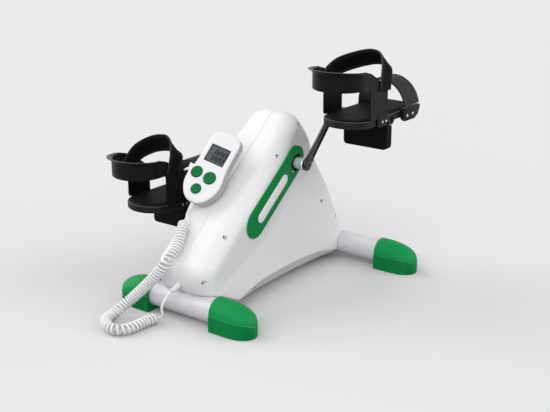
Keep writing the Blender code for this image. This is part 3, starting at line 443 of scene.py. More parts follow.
def leathery(name, colour, rough):
    """Smooth synthetic strap leather with a pebbled grain."""
    look, tree = new_look(name)
    along = strap_place(tree)
    cells = node(tree, "TexVoronoi", {"feature": "DISTANCE_TO_EDGE"}, Vector=along, Scale=900.0)
    cloud = grain_of(tree, along, 40.0, 4.0)
    base = mixed(tree, cloud, tone(colour, 0.8), tone(colour, 1.25))
    gloss = span(tree, cloud, rough - 0.06, rough + 0.08)
    relief = bumps(tree, span(tree, cells.outputs["Distance"], 0.0, 1.0, From_Max=0.25), 0.25, 0.0002)
    return finished(look, Base_Color=base, Roughness=gloss, Normal=relief, Specular_IOR_Level=0.16)


def circuit(name):
    """Circuit board: green mask over copper tracks, with tinned pads."""
    look, tree = new_look(name)
    where = object_place(tree)
    masks = ((0.02, 0.16, 0.05), (0.03, 0.2, 0.07), (0.05, 0.3, 0.1))
    tracks = bricks(tree, where, 0.37, masks, 0.0004, 0.009, 0.0031).outputs
    dots = node(tree, "TexVoronoi", Vector=where, Scale=180.0)
    pads = span(tree, dots.outputs["Distance"], 0.0, 1.0, From_Min=0.16, From_Max=0.12)
    base = mixed(tree, pads, tracks["Color"], (0.55, 0.55, 0.5))
    relief = bumps(tree, tracks["Fac"], 0.3, 0.0002)
    return finished(look, Base_Color=base, Roughness=span(tree, pads, 0.45, 0.25), Normal=relief)


# Name, colour, roughness and its spread, colour shift, grain scale, bump
white = solid("white_shell", (0.785, 0.785, 0.8), 0.34, 0.05, 0.012, 700, 0.02, coat=0.05, shine=0.35)
# The tubes' white paint, darkened below the housing's white: painted shade for the shadow under the housing's
# nose
tube_white_shaded = solid("white_tube_shaded", (0.64, 0.635, 0.665), 0.26, 0.05, 0.015, 420, 0.05, coat=0.3)
# A grey copy of the white shell: painted shade on the handset's sides and back
handset_side_shade = solid("handset_side_shade", (0.46, 0.46, 0.475), 0.4, 0.05, 0.015, 700, 0.03, shine=0.3)
label = solid("label_white", (0.93, 0.93, 0.93), 0.4, 0.04, 0.01, 500, 0.02, shine=0.3)
cord_white = solid("cord_white", (0.78, 0.78, 0.795), 0.36, 0.05, 0.02, 600, 0.03, shine=0.4)
# Grey for the screw wells: painted shade in the recesses of the white housing
well_shade_grey = solid("screw_well_shade", (0.37, 0.37, 0.385), 0.42, 0.05, 0.03, 800, 0.05, shine=0.3)
green = solid("green_moulding", (0.005, 0.262, 0.072), 0.45, 0.06, 0.05, 800, 0.06, shine=0.12)
green_gloss = solid("green_panel", (0.003, 0.225, 0.055), 0.46, 0.05, 0.04, 700, 0.03, shine=0.08)
green_press = solid("green_button", (0.003, 0.15, 0.04), 0.42, 0.05, 0.05, 700, 0.05, shine=0.12)
# A darker copy of the cap green for its upright skirt: painted shade
green_skirt_shade = solid("green_skirt_shade", (0.003, 0.195, 0.052), 0.45, 0.06, 0.05, 800, 0.06, shine=0.1)
# A lighter copy of the cap green for the ledge's upward faces: painted highlight
green_ledge_highlight = solid("green_ledge_highlight", (0.045, 0.36, 0.15), 0.35, 0.06, 0.05, 800, 0.06, shine=0.3)
# Near-black green for the rings round the buttons: painted shade of their wells
green_well_shade = solid("button_well_shade_green", (0.002, 0.045, 0.014), 0.45, 0.05, 0.05, 700, 0.05, shine=0.15)
glass = solid("display_face", (0.085, 0.1, 0.108), 0.22, 0.03, 0.1, 300, 0.0, coat=0.2, shine=0.2)
ink = solid("display_ink", (0.003, 0.0045, 0.009), 0.4, 0.03, 0.05, 300, 0.0, shine=0.1)
black_soft = solid("black_tread", (0.003, 0.003, 0.0033), 0.6, 0.06, 0.15, 500, 0.15, shine=0.08)
weight_black = solid("weight_black", (0.003, 0.003, 0.0034), 0.55, 0.06, 0.12, 500, 0.08, shine=0.06)
rubber = solid("belt_rubber", (0.02, 0.02, 0.021), 0.75, 0.06, 0.2, 700, 0.25)
sleeve_metal = solid("sleeve_metal", (0.8, 0.8, 0.83), 0.2, 0.06, 0.06, 300, 0.05, metal=0.45, coat=0.3)
binding_skin = solid("binding", (0.016, 0.015, 0.015), 0.42, 0.06, 0.15, 900, 0.15, shine=0.3)
# Grey for the upward edges of the black pedal parts: painted highlight
edge_highlight_grey = solid("painted_edge_highlight", (0.06, 0.06, 0.064), 0.38, 0.08, 0.25, 400, 0.1, shine=0.3)
thread = solid("stitch_thread", (0.05, 0.05, 0.055), 0.7, 0.05, 0.2, 2000, 0.3)
# The pale edge colours given to the black looks below are painted edge highlights; the frame paint's is wear
black = solid(
    "black_moulding", (0.0045, 0.0045, 0.005), 0.42, 0.07, 0.15, 900, 0.1,
    wear_and_highlight=(0.02, 0.02, 0.022), shine=0.13
)
plate_black = solid(
    "black_plate", (0.005, 0.005, 0.0056), 0.42, 0.07, 0.15, 700, 0.1,
    wear_and_highlight=(0.05, 0.05, 0.055), shine=0.12
)
cup_black = solid(
    "black_cup", (0.0038, 0.0038, 0.0042), 0.4, 0.07, 0.15, 900, 0.08,
    wear_and_highlight=(0.014, 0.014, 0.015), shine=0.11
)
arm_black = solid(
    "crank_black", (0.005, 0.005, 0.0055), 0.22, 0.05, 0.1, 300, 0.03,
    coat=0.2, wear_and_highlight=(0.14, 0.14, 0.15), shine=0.4
)
frame_paint = solid("frame_paint", (0.06, 0.06, 0.065), 0.45, 0.08, 0.1, 350, 0.15, wear_and_highlight=(0.25, 0.25, 0.26))
chrome = brushed("chrome", (0.82, 0.82, 0.84), 0.12, (1.0, 8.0, 8.0))
steel = brushed("turned_steel", (0.55, 0.55, 0.57), 0.3, (0.3, 6.0, 6.0))
dark_steel = brushed("dark_steel", (0.16, 0.16, 0.17), 0.38, (0.3, 5.0, 5.0))
webbing = woven("black_webbing", (0.0032, 0.0029, 0.0027), 0.0016, 0.0009, 0.01)
strap_skin = leathery("strap_skin", (0.01, 0.01, 0.011), 0.46)
board_look = circuit("circuit_board")


# Handset cord: lead, curls and tail on one line
HANDSET_LEAN = Matrix.Rotation(SLOPE, 3, "X") @ Euler([radians(a) for a in HANDSET_TURN], "XYZ").to_matrix()
HANDSET = ROW @ shift(*HANDSET_CENTRE) @ HANDSET_LEAN.to_4x4()
PLUG_CENTRE = (0.0, -0.0208, 0.0735)
PLUG_TILT = radians(15.2)
PLUG = ROW @ shift(*PLUG_CENTRE) @ Matrix.Rotation(PLUG_TILT, 4, "X") @ FACING_Y
CORD_EXIT = (0.0, -0.0913, -0.0125)
LEAD = mm([(-31, 40, 183)])
COIL = mm([
    (-32.2, 32.3, 173.8), (-23.2, 12.6, 158.3), (-15, -10.5, 140.5), (-15, -37, 121.6), (-33.6, -47, 93.6),
    (-64, -54.5, 60.1), (-93, -65, 30), (-104, -93, 12.4), (-98, -119, 11.8), (-78, -137, 11.8),
    (-54, -143, 11.8), (-37, -131, 11.8), (-32, -108, 11.8), (-32, -82, 11.8), (-27, -60, 11.8)
])
TAIL = mm([(-6, -64, 22), (-3.5, -66, 45)])
COIL_STEPS = 1500
TIGHT_PITCH = 0.0063
OPEN_PITCH = 0.0079
OPENS_AT = 0.45
OPENS_OVER = 0.12
FIRST_CURL = radians(200.0)
BEND_GAP = 0.0009
BEND_SOFTENING = 0.006
TIGHTEST_BEND = 0.004
POINTS_PER_CURL = 14


def coil_centre():
    """The coil's centre line at even steps, its bends softened, with its direction and bend radius."""
    route = smooth(COIL, 24)
    along = lengths_along(route)
    fine = np.linspace(0.0, along[-1], COIL_STEPS)
    centre = np.stack([np.interp(fine, along, column) for column in route.T], axis=1)
    reach = int(BEND_SOFTENING / along[-1] * COIL_STEPS)
    for _ in range(3):
        before, after = 2 * centre[0] - centre[reach:0:-1], 2 * centre[-1] - centre[-2 : -reach - 2 : -1]
        sums = np.cumsum(np.concatenate([np.zeros((1, 3)), before, centre, after]), axis=0)
        centre = (sums[2 * reach + 1 :] - sums[: -2 * reach - 1]) / (2 * reach + 1)
    length = np.linalg.norm(np.gradient(centre, axis=0), axis=1)
    tangent = directions(centre)
    bend = np.linalg.norm(np.gradient(tangent, axis=0), axis=1) / length
    return centre, tangent, length, 1.0 / np.maximum(bend, 1e-3)


def coil_points():
    """One unbroken helix along the coil's route, closer wound where it hangs than where it lies."""
    centre, tangent, length, radius = coil_centre()
    share = np.clip((np.linspace(0.0, 1.0, len(centre)) - OPENS_AT) / OPENS_OVER, 0.0, 1.0)
    opened = (CORD_DIAMETER + BEND_GAP) * radius / np.maximum(radius - COIL_RADIUS, TIGHTEST_BEND)
    pitch = np.maximum(TIGHT_PITCH + (OPEN_PITCH - TIGHT_PITCH) * share, opened)
    phase = np.concatenate([[0.0], np.cumsum((length / pitch)[1:])])
    side, other = carried(tangent, np.cross(tangent[0], (0.0, 0.0, 1.0)))
    found = []
    for turn in np.linspace(0.0, phase[-1], int(phase[-1]) * POINTS_PER_CURL + 1):
        place = np.array([np.interp(turn, phase, column) for column in centre.T])
        i = min(int(np.searchsorted(phase, turn)), len(centre) - 1)
        angle = 2 * pi * turn + FIRST_CURL
        found.append(place + COIL_RADIUS * (cos(angle) * side[i] + sin(angle) * other[i]))
    return np.array(found)


def cord_route():
    """The cord's whole line, which runs a diameter straight on at each end of its lead and tail."""
    coil = coil_points()
    start, end = directions(coil[1::-1])[0], directions(coil[-2:])[0]
    handset, plug = ROW.inverted() @ HANDSET, ROW.inverted() @ PLUG
    out = np.array(handset @ Vector(CORD_EXIT))
    way = np.array(handset.to_3x3() @ Vector((0.0, -1.0, 0.0)))
    into, before = (np.array(plug @ Vector((-PLUG_LENGTH - gap, 0.0, 0.0))) for gap in (0.0, CORD_DIAMETER))
    lead = [out - way * 0.004, out + way * CORD_DIAMETER, *LEAD, coil[0] + start * CORD_DIAMETER, coil[0]]
    tail = [coil[-1], coil[-1] + end * CORD_DIAMETER, *TAIL, before, into]
    return np.vstack([smooth(lead, 8)[:-1], coil, smooth(tail, 8)[1:]])


def ribbed_sleeve(length, thick, thin, ribs):
    """Profile of a tapered strain relief with rings round it, its thick end at x = 0."""
    profile = [(0.0, 0.0), (0.0, thick)]
    for i in range(ribs):
        for share, groove in ((0.1, 0.0), (0.55, 0.0), (0.62, 0.0007), (0.95, 0.0007)):
            at = (i + share) / ribs
            profile.append((-length * at, thick + (thin - thick) * at - groove))
    return profile + [(-length, thin), (-length, 0.0)]


def build_cord():
    route = cord_route()
    part = tube_along(route, [CORD_DIAMETER / 2] * len(route), 10)
    cord = make("handset_cord", part, cord_white, None, sharp=60)
    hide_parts("handset_lead", "curly_cord", "cord_tail")
    profile = mm([
        (9.8, 0), (9.8, 1.6), (9, 2.2), (-0.4, 2.2), (-0.4, 5.6), (-1, 6.2), (-5.2, 6.2), (-5.8, 5.7),
        (-6.4, 5.2), (-17.2, 4.8), (-17.6, 5.3), (-19.6, 5.3), (-20.2, 4.7), (-20.6, 3.8)
    ])
    end = profile[-1][0]
    profile += [(x + end, r) for x, r in ribbed_sleeve(PLUG_LENGTH + end, 0.0037, 0.003, 2)[1:]]
    plug = make("plug_and_relief", turned(profile, 40), cord_white, "base", PLUG, 40, node_name="cord_plug")
    sleeve = turned(ribbed_sleeve(0.016, 0.0052, 0.0034, 4), 40)
    at = HANDSET @ shift(0.0, -0.0753, CORD_EXIT[2]) @ FACING_Y
    relief = make("handset_relief", sleeve, cord_white, "handset", at, 40, node_name="handset_strain_relief")
    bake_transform(cord)


build_cord()


# Cross tubes and end caps
CAP_HEIGHT = TUBE_HEIGHT + TUBE_RADIUS + 0.0043
CAP_LEDGE = 0.0013
CAP_STATIONS = mm([
    (0, 1000, 1000, 524), (24, 1000, 993, 516), (42, 995, 957, 507), (56.7, 955, 892, 499),
    (69.7, 830, 794, 491), (78.3, 625, 687, 466), (84, 360, 581, 426), (86.6, 20, 491, 376)
])
CAP_STATIONS = smooth(CAP_STATIONS, 4)


def cap_rings(inner, side, centre):
    """Sections of an end cap: a straight skirt, a small ledge, and a dome that falls to a round nose."""
    angles = [pi * k / 24 for k in range(1, 24)]
    rings = []
    for along, wide, top, wall in CAP_STATIONS:
        half = max(CAP_HALF_WIDTH * wide, 0.0004)
        top, wall = top * CAP_HEIGHT, wall * CAP_HEIGHT
        brow = half - min(CAP_LEDGE, half * 0.3)
        foot = wall + 0.0006
        left = [(-brow, 0.0), (-half, 0.0012), (-half, wall - 0.0016), (-half + 0.0002, wall)]
        left += [(-brow, wall + 0.0002), (-brow, foot)]
        rise = max(top - foot, 0.001)
        dome = [(-brow * cos(a), foot + rise * sin(a)) for a in angles]
        ring = left + dome + [(-y, z) for y, z in left[::-1]]
        rings.append([(side * (inner + along), centre + y, z) for y, z in ring])
    return rings


def build_feet():
    for row, y in (("near", 0.0), ("far", TUBE_SPACING)):
        inner = CAP_INNER[row]
        reach = inner + CAP_SOCKET
        bore = TUBE_RADIUS - TUBE_WALL
        at = ROW @ shift(0.0, y, TUBE_HEIGHT)
        tube = turned([(-reach, bore), (-reach, TUBE_RADIUS), (reach, TUBE_RADIUS), (reach, bore)], 96, True)
        make(f"{row}_tube", tube, tube_white_shaded, "base", at, node_name=f"{row}_cross_tube")
        for side, word in SIDES:
            part = loft(cap_rings(inner, side, y))
            cap = make(f"{row}_{word}_foot", part, green, sharp=40, node_name=f"{row}_{word}_cap")
            low, high = sorted((side * (inner - 0.004), side * (reach + 0.0003)))
            cut(cap, [cutter(rod(low, high, TUBE_RADIUS + 0.0003, 96), at)], 40)
            cap.data.materials.append(green_skirt_shade)
            cap.data.materials.append(green_ledge_highlight)
            for face in cap.data.polygons:
                along = abs(face.center.x) - inner
                wall = CAP_HEIGHT * float(np.interp(along, CAP_STATIONS[:, 0], CAP_STATIONS[:, 3]))
                # Upright skirt faces: painted shade
                if face.center.z < wall - 0.0004 and abs(face.normal.z) < 0.6:
                    face.material_index = 1
                # Upward ledge faces: painted highlight
                elif abs(face.center.z - wall) < 0.0007 and face.normal.z > 0.2:
                    face.material_index = 2


build_feet()


# Housing halves
REAR = TUBE_SPACING - CRANK[0]
CREASE = ((0.003, 0.139, 0.183, 0.284), (0.0639, 0.1121, 0.1153, 0.1193))
BAND_LEAN = 0.1
BAND_PIVOT = 0.05
FOOT_LEAN = 0.05
EDGE_DEPTH = 0.03
GRID_STEP = 0.0065
PLUG_HOLE = 0.0085
INLET_HOLE = 0.0068
SWITCH_HOLE = (0.0083, 0.0113)
CRANK_HOLE = 0.019
FRAME_SLOT = 0.0225


def rearward(share):
    return CRANK[0] + share * REAR


def slope_point(along, below=0.0):
    y = SLOPE_FOOT[0] + along * cos(SLOPE) + below * sin(SLOPE)
    return (y, SLOPE_FOOT[1] + along * sin(SLOPE) - below * cos(SLOPE))


def slope_place(y, z):
    """How far along the slope a point lies, and how far below it."""
    dy, dz = y - SLOPE_FOOT[0], z - SLOPE_FOOT[1]
    return dy * cos(SLOPE) + dz * sin(SLOPE), dy * sin(SLOPE) - dz * cos(SLOPE)


def crease_at(along):
    return float(np.interp(along, *CREASE))


def plain_half_width(y, z):
    start = CRANK[0] - 0.044
    taper = min(max((y - start) / (rearward(0.9086) - start), 0.0), 1.0)
    return HALF_WIDTH - 0.0135 * taper - 0.05 * max(z - 0.27, 0.0)


def band_lean(below):
    return -BAND_LEAN * (below - BAND_PIVOT)


def half_width(y, z):
    """Half width of the side: a band along the slope that leans in, and a lower face that leans out again."""
    along, below = slope_place(y, z)
    crease = crease_at(along)
    return plain_half_width(y, z) + (band_lean(min(below, crease)) + FOOT_LEAN * max(below - crease, 0.0))


def row_groups():
    """Rows of outline point, side-face point and rounding, in runs that are each smooth."""
    reach = TUBE_RADIUS + SADDLE_CLEARANCE

    def on_tube(y, centre=0.0):
        return (y, TUBE_HEIGHT + sqrt(reach**2 - (y - centre) ** 2))

    def saddle(centre, way, angle, lead):
        """A row on the saddle over a tube, this far round from its top."""
        out, edge = [
            (centre + way * r * sin(angle), TUBE_HEIGHT + r * cos(angle)) for r in (reach, reach + WALL)
        ]
        return out, (edge[0] + way * lead, edge[1]), WALL

    lip = on_tube(-0.0088)
    over = [((lip[0], lip[1] + 0.0008), (0.0062, 0.0655), EDGE_DEPTH)]
    nose = mm([(-15, 60, 6.2, 69), (-20, 70.5, 6.3, 77), (-23.9, 88.7, 6.5, 88.7), (-22.6, 104, 9, 97)])
    over += [(row[:2], row[2:], EDGE_DEPTH) for row in nose]
    over.append((SLOPE_FOOT, (0.015, 0.104), EDGE_DEPTH))
    rises = (0.022, 0.08, 0.15, 0.22, 0.295)
    over += [(slope_point(along), slope_point(along, EDGE_DEPTH), EDGE_DEPTH) for along in rises]
    over.append((slope_point(0.35, 0.0008), (rearward(0.0103), 0.315), 0.038))
    for out, high, edge, low, rounding in mm([
        (12.9, 349, 38.7, 317.5, 43), (62, 352.5, 67.1, 318, 43), (116.2, 350, 98.1, 316.5, 38),
        (170.4, 341, 123.9, 312, 31), (345.9, 298.5, 257.6, 284.7, 22), (505.9, 243, 406.8, 232.3, 22),
        (738.3, 175.5, 640.2, 164.5, 22), (921.5, 103.5, 819.8, 93.8, 22), (996.4, 77, 893.1, 72, 20),
        (1042.8, 64, 934.4, 70, 16)
    ]):
        over.append(((rearward(out), high), (rearward(edge), low), rounding))
    low = acos((BOTTOM - TUBE_HEIGHT) / reach)
    far = [(on_tube(TUBE_SPACING + 0.0063, TUBE_SPACING), (rearward(0.9551), 0.0665), 0.008)]
    far += [saddle(TUBE_SPACING, -1, low * share, 0.001) for share in (0.07, 0.26, 0.45, 0.64, 0.83)]
    corner = TUBE_SPACING - reach * sin(low)
    under = [((corner, BOTTOM), (corner - 0.004, BOTTOM + 0.004), WALL)]
    for y, z, lift in (
        (rearward(0.7641), BOTTOM, 0.007),
        (rearward(0.4956), BOTTOM, 0.019),
        (rearward(0.0929), BOTTOM, 0.025),
        (0.215, BOTTOM, 0.026),
        (0.149, BOTTOM, 0.022),
        (0.102, BOTTOM, 0.012),
        (0.078, 0.0228, 0.005),
        (0.054, 0.0335, 0.004),
        (0.032, 0.044, 0.004),
    ):
        under.append(((y, z), (y + 0.001, z + lift), max(0.62 * lift, 0.0025)))
    near = [saddle(0.0, 1, radians(angle), 0.002) for angle in (44, 26, 8)]
    near.append((on_tube(-0.005), (0.0062, 0.0628), 0.016))
    return over, far, under, near


def fine_rows():
    """The rows at close steps, and how many of them come before the underside."""
    over, far, under, near = ([(*out, *edge, rounding) for out, edge, rounding in g] for g in row_groups())
    runs = [smooth(over, 5), smooth(far, 3), smooth(under[:7], 4), smooth(under[6:], 3)[1:], smooth(near, 3)]
    return [tuple(float(v) for v in row) for run in runs for row in run], len(runs[0]) + len(runs[1])


def between_tubes(y):
    return 0.03 < y < TUBE_SPACING - 0.03


def quarter(t, flat):
    """How far round the edge an angle leads, out and back: on an arc, or straight across where it is flat."""
    return (t / (pi / 2), 1 - t / (pi / 2)) if flat else (sin(t), cos(t))


def side_grid(rim):
    """Points inside the side face, in lines along the slope, and the crease through them."""
    points = []
    for i in range(60):
        for k in range(48):
            place = slope_point(-0.02 + GRID_STEP * i, 0.026 + GRID_STEP * k)
            along, below = slope_place(*place)
            if inside(place, rim) and nearest(place, rim) > 0.0042 and abs(below - crease_at(along)) > 0.0022:
                points.append(place)
    crease = [slope_point(along, crease_at(along)) for along in np.arange(0.02, 0.4, GRID_STEP)]
    return points, [place for place in crease if inside(place, rim) and nearest(place, rim) > 0.004]


def shell_half(name, side):
    """The half's outer skin as a closed solid, flat at the centre seam."""
    rows, under = fine_rows()
    steps = 9
    rings = []
    for t in [pi / 2 * k / steps for k in range(steps, -1, -1)]:
        ring = []
        for i, (oy, oz, iy, iz, rounding) in enumerate(rows):
            width = half_width(iy, iz)
            depth = min(rounding, width - 0.01)
            out, bend = quarter(t, i >= under and between_tubes(oy))
            ring.append((width - depth * (1 - out), iy + (oy - iy) * bend, iz + (oz - iz) * bend))
        rings.append(ring)
    outline = [Vector(row[:2]) for row in rows]
    for x, sink in mm([(1, 0), (0.5, 0.4), (0.15, 1)]):
        ring = []
        for i, (y, z) in enumerate(outline):
            along = (outline[(i + 1) % len(outline)] - outline[i - 1]).normalized()
            ring.append((x, y + along[1] * sink, z - along[0] * sink))
        rings.append(ring)
    rim = [place[1:] for place in rings[0]]
    points, crease = side_grid(rim)
    edges = [(i, (i + 1) % len(rim)) for i in range(len(rim))]
    edges += [(len(rim) + i, len(rim) + i + 1) for i in range(len(crease) - 1)]
    found, _, corners, *_ = delaunay_2d_cdt([Vector(p) for p in rim + crease + points], edges, [], 0, 1e-7)
    kept = []
    for face in corners:
        middle = sum((found[i] for i in face), Vector((0.0, 0.0))) / len(face)
        if inside(tuple(middle), rim):
            kept.append(tuple(face))
    side_face = ([(half_width(*place), *place) for place in found], kept)
    verts, faces = joined([loft(rings, first=False), side_face])
    return make(name, ([(side * x, y, z) for x, y, z in verts], faces), white, sharp=24)


def cavity(side):
    """The inside of a half, as the solid that is cut out of it."""
    rows = [row for group in row_groups() for row in group]
    outline = [Vector(row[0]) for row in rows]
    rings = []
    for t in (None, 0.0, pi / 6, pi / 3, pi / 2):
        ring = []
        for i, (out, edge, rounding) in enumerate(rows):
            before, after = outline[i - 1], outline[(i + 1) % len(outline)]
            if out[1] == BOTTOM and before[1] != after[1]:
                push = Vector((1.5 if out[0] < 0.2 else -1.5, 1.0))
            else:
                along = (after - before).normalized()
                push = Vector((along[1], -along[0]))
            out = Vector(out) + push * WALL
            edge = Vector(edge)
            if (edge - out).length < 0.012:
                edge = edge + push * WALL
            if t is None:
                ring.append((-side * 0.002, *out))
                continue
            width = plain_half_width(*edge) - WALL - 0.008
            share, bend = quarter(t, rounding < 0.0165 and out[1] < 0.048 and between_tubes(out[0]))
            x = width - min(rounding, width - 0.01) * (1 - share)
            ring.append((side * x, *(edge + (out - edge) * bend)))
        rings.append(ring)
    return cutter(loft(rings))


SCREWS = mm([
    (282.9, 330.3), (206, 282.3), (48.6, 158.6), (-14, 88.6), (346.7, 242.8), (372, 147.7), (429, 99.2),
    (334.1, 30), (133.2, 30.9)
])
SCREW_RADIUS = 0.0042
SCREW_DEPTH = 0.006
SCREW_WELL = mm([(-1, 0), (-1, 4.8), (4, 4.8), (4, 4.1), (0, 4.1), (0, 0)])
SCREW_HEAD = mm([(0, 0), (0, 2.5), (0.7, 2.4), (1.2, 1.7), (1.2, 0)])
REAR_FACE = ((rearward(0.7383), 0.1755), (rearward(0.9215), 0.1035))
REAR_LEAN = atan2(REAR_FACE[1][0] - REAR_FACE[0][0], REAR_FACE[0][1] - REAR_FACE[1][1])
SOCKET_Z = 0.133
SOCKET_Y = REAR_FACE[0][0] + (REAR_FACE[0][1] - SOCKET_Z) * tan(REAR_LEAN)
INLET, SWITCH = (
    ROW @ shift(x, SOCKET_Y, SOCKET_Z) @ Matrix.Rotation(REAR_LEAN, 4, "X") @ FACING_Y for x in (0.02, -0.019)
)


def surface_height(tree, side, y, z):
    """How far out the half's surface stands at a place, looking along X."""
    hit = tree.ray_cast(ROW @ Vector((side * 0.12, y, z)), Vector((-side, 0.0, 0.0)))
    return abs(hit[0].x) if hit[0] else 0.05


def build_housing():
    for side, word in SIDES:
        half = shell_half(f"shell_{word}", side)
        mesh = half.data
        tree = BVHTree.FromPolygons([v.co for v in mesh.vertices], [tuple(p.vertices) for p in mesh.polygons])
        holes, wells, screws = [], [], []
        for y, z in SCREWS:
            ring = [(y + SCREW_RADIUS * cos(a), z + SCREW_RADIUS * sin(a)) for a in np.arange(0, 6.28, 0.52)]
            floor = min(surface_height(tree, side, *place) for place in ring) - SCREW_DEPTH
            at = shift(0.0, y, z)
            holes.append(moved(rod(*sorted((side * (floor + 0.0002), side * 0.09)), SCREW_RADIUS, 28), at))
            for parts, profile, sides in ((wells, SCREW_WELL, 28), (screws, SCREW_HEAD, 24)):
                parts.append(moved(turned([(floor + x, r) for x, r in profile], sides, side=side), at))
        holes.append(moved(rod(*sorted((side * 0.045, side * 0.09)), CRANK_HOLE, 48), CRANK_AT))
        slot = block((-FRAME_SLOT, 0.012, 0.01), (FRAME_SLOT, TUBE_SPACING - 0.0097, 0.047))
        cutters = [cavity(side), cutter(joined(holes)), cutter(slot)]
        cutters.append(cutter(rod(-0.02, 0.02, PLUG_HOLE), PLUG))
        if side > 0:
            cutters.append(cutter(rod(-0.02, 0.02, INLET_HOLE), INLET))
        else:
            wide, high = SWITCH_HOLE
            cutters.append(cutter(block((-0.02, -wide, -high), (0.02, wide, high)), SWITCH))
        cut(half, cutters, 24)
        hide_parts(f"housing_{word}")
        # The wells take the grey look: painted shade in the screw holes
        make(f"wells_{word}", joined(wells), well_shade_grey, sharp=35)
        make(f"screws_{word}", joined(screws), steel, sharp=35)


build_housing()


# Side panels, labels and the crank openings
def leaned(side, outline, low, high):
    """A flat piece that leans with the side face, between two levels. A low of None starts in its skin."""
    rings = []
    for level in (low, high):
        ring = []
        for y, z in outline:
            lean = band_lean(slope_place(y, z)[1])
            x = half_width(y, z) - 0.0012 if level is None else HALF_WIDTH + lean + level
            ring.append((side * x, y, z))
        rings.append(ring)
    return loft(rings)


def build_panels():
    upper, lower, low_end, high_end = (
        (CRANK[0] + y, CRANK[1] + z)
        for y, z in mm([(-4.5, 4.8), (-131, -91.7), (-116, -83.2), (-42, -26.7)])
    )
    dot = [(HALF_WIDTH + x, r) for x, r in mm([(0.6, 0), (0.6, 1.7), (2, 1.6), (2.5, 1), (2.6, 0)])]
    ring = mm([
        (53, 8.4), (53, 21), (56, 21), (56.2, 18.6), (60.6, 18.6), (61, 18.1), (60.6, 17.4), (58, 16.6),
        (57.2, 10), (56.6, 8.4)
    ])
    for side, word in SIDES:
        part = leaned(side, stadium(lower, upper, 0.0305, 48), None, 0.0029)
        panel = make(f"panel_{word}", part, green_gloss, node_name=f"side_panel_{word}")
        cut(panel, [cutter(rod(-0.09, 0.09, 0.018, 64), ROW @ CRANK_AT)])
        bevel(panel, 0.0011, 3, 50)
        part = leaned(side, stadium(low_end, high_end, 0.0115, 40), 0.0024, 0.0035)
        inlay = make(f"label_{word}", part, label, node_name=f"panel_inlay_{word}")
        bevel(inlay, 0.0003, 2, 50)
        make(f"panel_pin_{word}", moved(turned(dot, 24, side=side), shift(0.0, 0.2507, 0.2429)), chrome)
        make(f"crank_collar_{word}", moved(turned(ring, 56, True, side), CRANK_AT), black)


build_panels()


# Cranks
ARM_OUTER = ARM_INNER + ARM_THICKNESS
ARM_WAIST = mm([(6, 10.8), (16, 9), (35, 8.1), (65, 7.9), (98, 8), (116, 9.1), (125, 10.1)])
CHANNEL_START, CHANNEL_END = mm([(24, 4.2), (108, 4)])
CHANNEL_DEPTH = 0.0022
ARM_BOSS = 0.0125
ARM_TIP = 0.0108
PEDAL_BORE = 0.0063
AXLE_BORE = 0.0079


def crank_turn(side):
    return CRANK_ANGLE if side > 0 else CRANK_ANGLE + pi


def arm_outline():
    """A round boss, a waisted arm and a round tip, from the axle outward."""
    upper = arc((0.0, 0.0), ARM_BOSS, 1.0, -96 / 180, 12) + [tuple(p) for p in smooth(ARM_WAIST, 5)]
    upper += arc((CRANK_RADIUS, 0.0), ARM_TIP, 88 / 180, -88 / 180, 11)
    return upper + [(u, -v) for u, v in upper[-2:0:-1]]


def channel_outline():
    groove = smooth([CHANNEL_START, *mm([(45, 3.8), (80, 3.6)]), CHANNEL_END], 5)
    groove = [tuple(p) for p in groove]
    turns = np.arange(0.3, 3.1, 0.3)
    (start, half_start), (end, half_end) = CHANNEL_START, CHANNEL_END
    ends = [(end + half_end * sin(a), half_end * cos(a)) for a in turns]
    starts = [(start - half_start * sin(a), -half_start * cos(a)) for a in turns]
    return groove + ends + [(u, -v) for u, v in groove[::-1]] + starts


def build_cranks():
    at = ROW @ CRANK_AT
    cap = mm([(-2.2, 0), (-2.2, 5), (0.3, 5), (0.3, 9.1), (0.6, 9.5), (1.1, 9.5), (1.7, 8.9), (2, 8), (2, 0)])
    tube = mm([
        (64, 8), (64, 11.2), (65, 11.8), (70, 11.8), (70.4, 11.2), (71.6, 11.2), (72, 12.5), (84.4, 12.5),
        (85.4, 11.8), (85.4, 8)
    ])
    for side, word in SIDES:
        swing = at @ Matrix.Rotation(crank_turn(side), 4, "X")
        low, high = sorted((side * ARM_INNER, side * ARM_OUTER))
        part = prism(arm_outline(), low, high)
        arm = make(f"arm_{word}", part, arm_black, "crank", swing, node_name=f"crank_arm_{word}")
        low, high = sorted((side * (ARM_OUTER - CHANNEL_DEPTH), side * (ARM_OUTER + 0.004)))
        cutters = [cutter(prism(channel_outline(), low, high), swing)]
        cutters.append(cutter(moved(rod(-0.12, 0.12, PEDAL_BORE, 40), shift(0.0, CRANK_RADIUS, 0.0)), swing))
        cutters.append(cutter(rod(-0.12, 0.12, AXLE_BORE, 40), swing))
        bevel(arm, 0.0016, 4, 60)
        cut(arm, cutters)
        bevel(arm, 0.0003, 2, 60)
        part = turned([(ARM_OUTER + x, r) for x, r in cap], 48, side=side)
        bolt = make(f"bolt_{word}", part, arm_black, "crank", at, node_name=f"crank_bolt_{word}")
        low, high = sorted((side * (ARM_OUTER + 0.0006), side * (ARM_OUTER + 0.01)))
        cut(bolt, [cutter(rod(low, high, 0.004, 6), at)])
        part = turned(tube, 64, True, side)
        make(f"sleeve_{word}", part, sleeve_metal, "crank", at, node_name=f"axle_sleeve_{word}")


build_cranks()


# Pedals
PLATE_HALF = 0.05
HEEL_DEPTH = PLATE_HALF * 0.82
HEEL_END = -0.1191
TOE_END = 0.1035


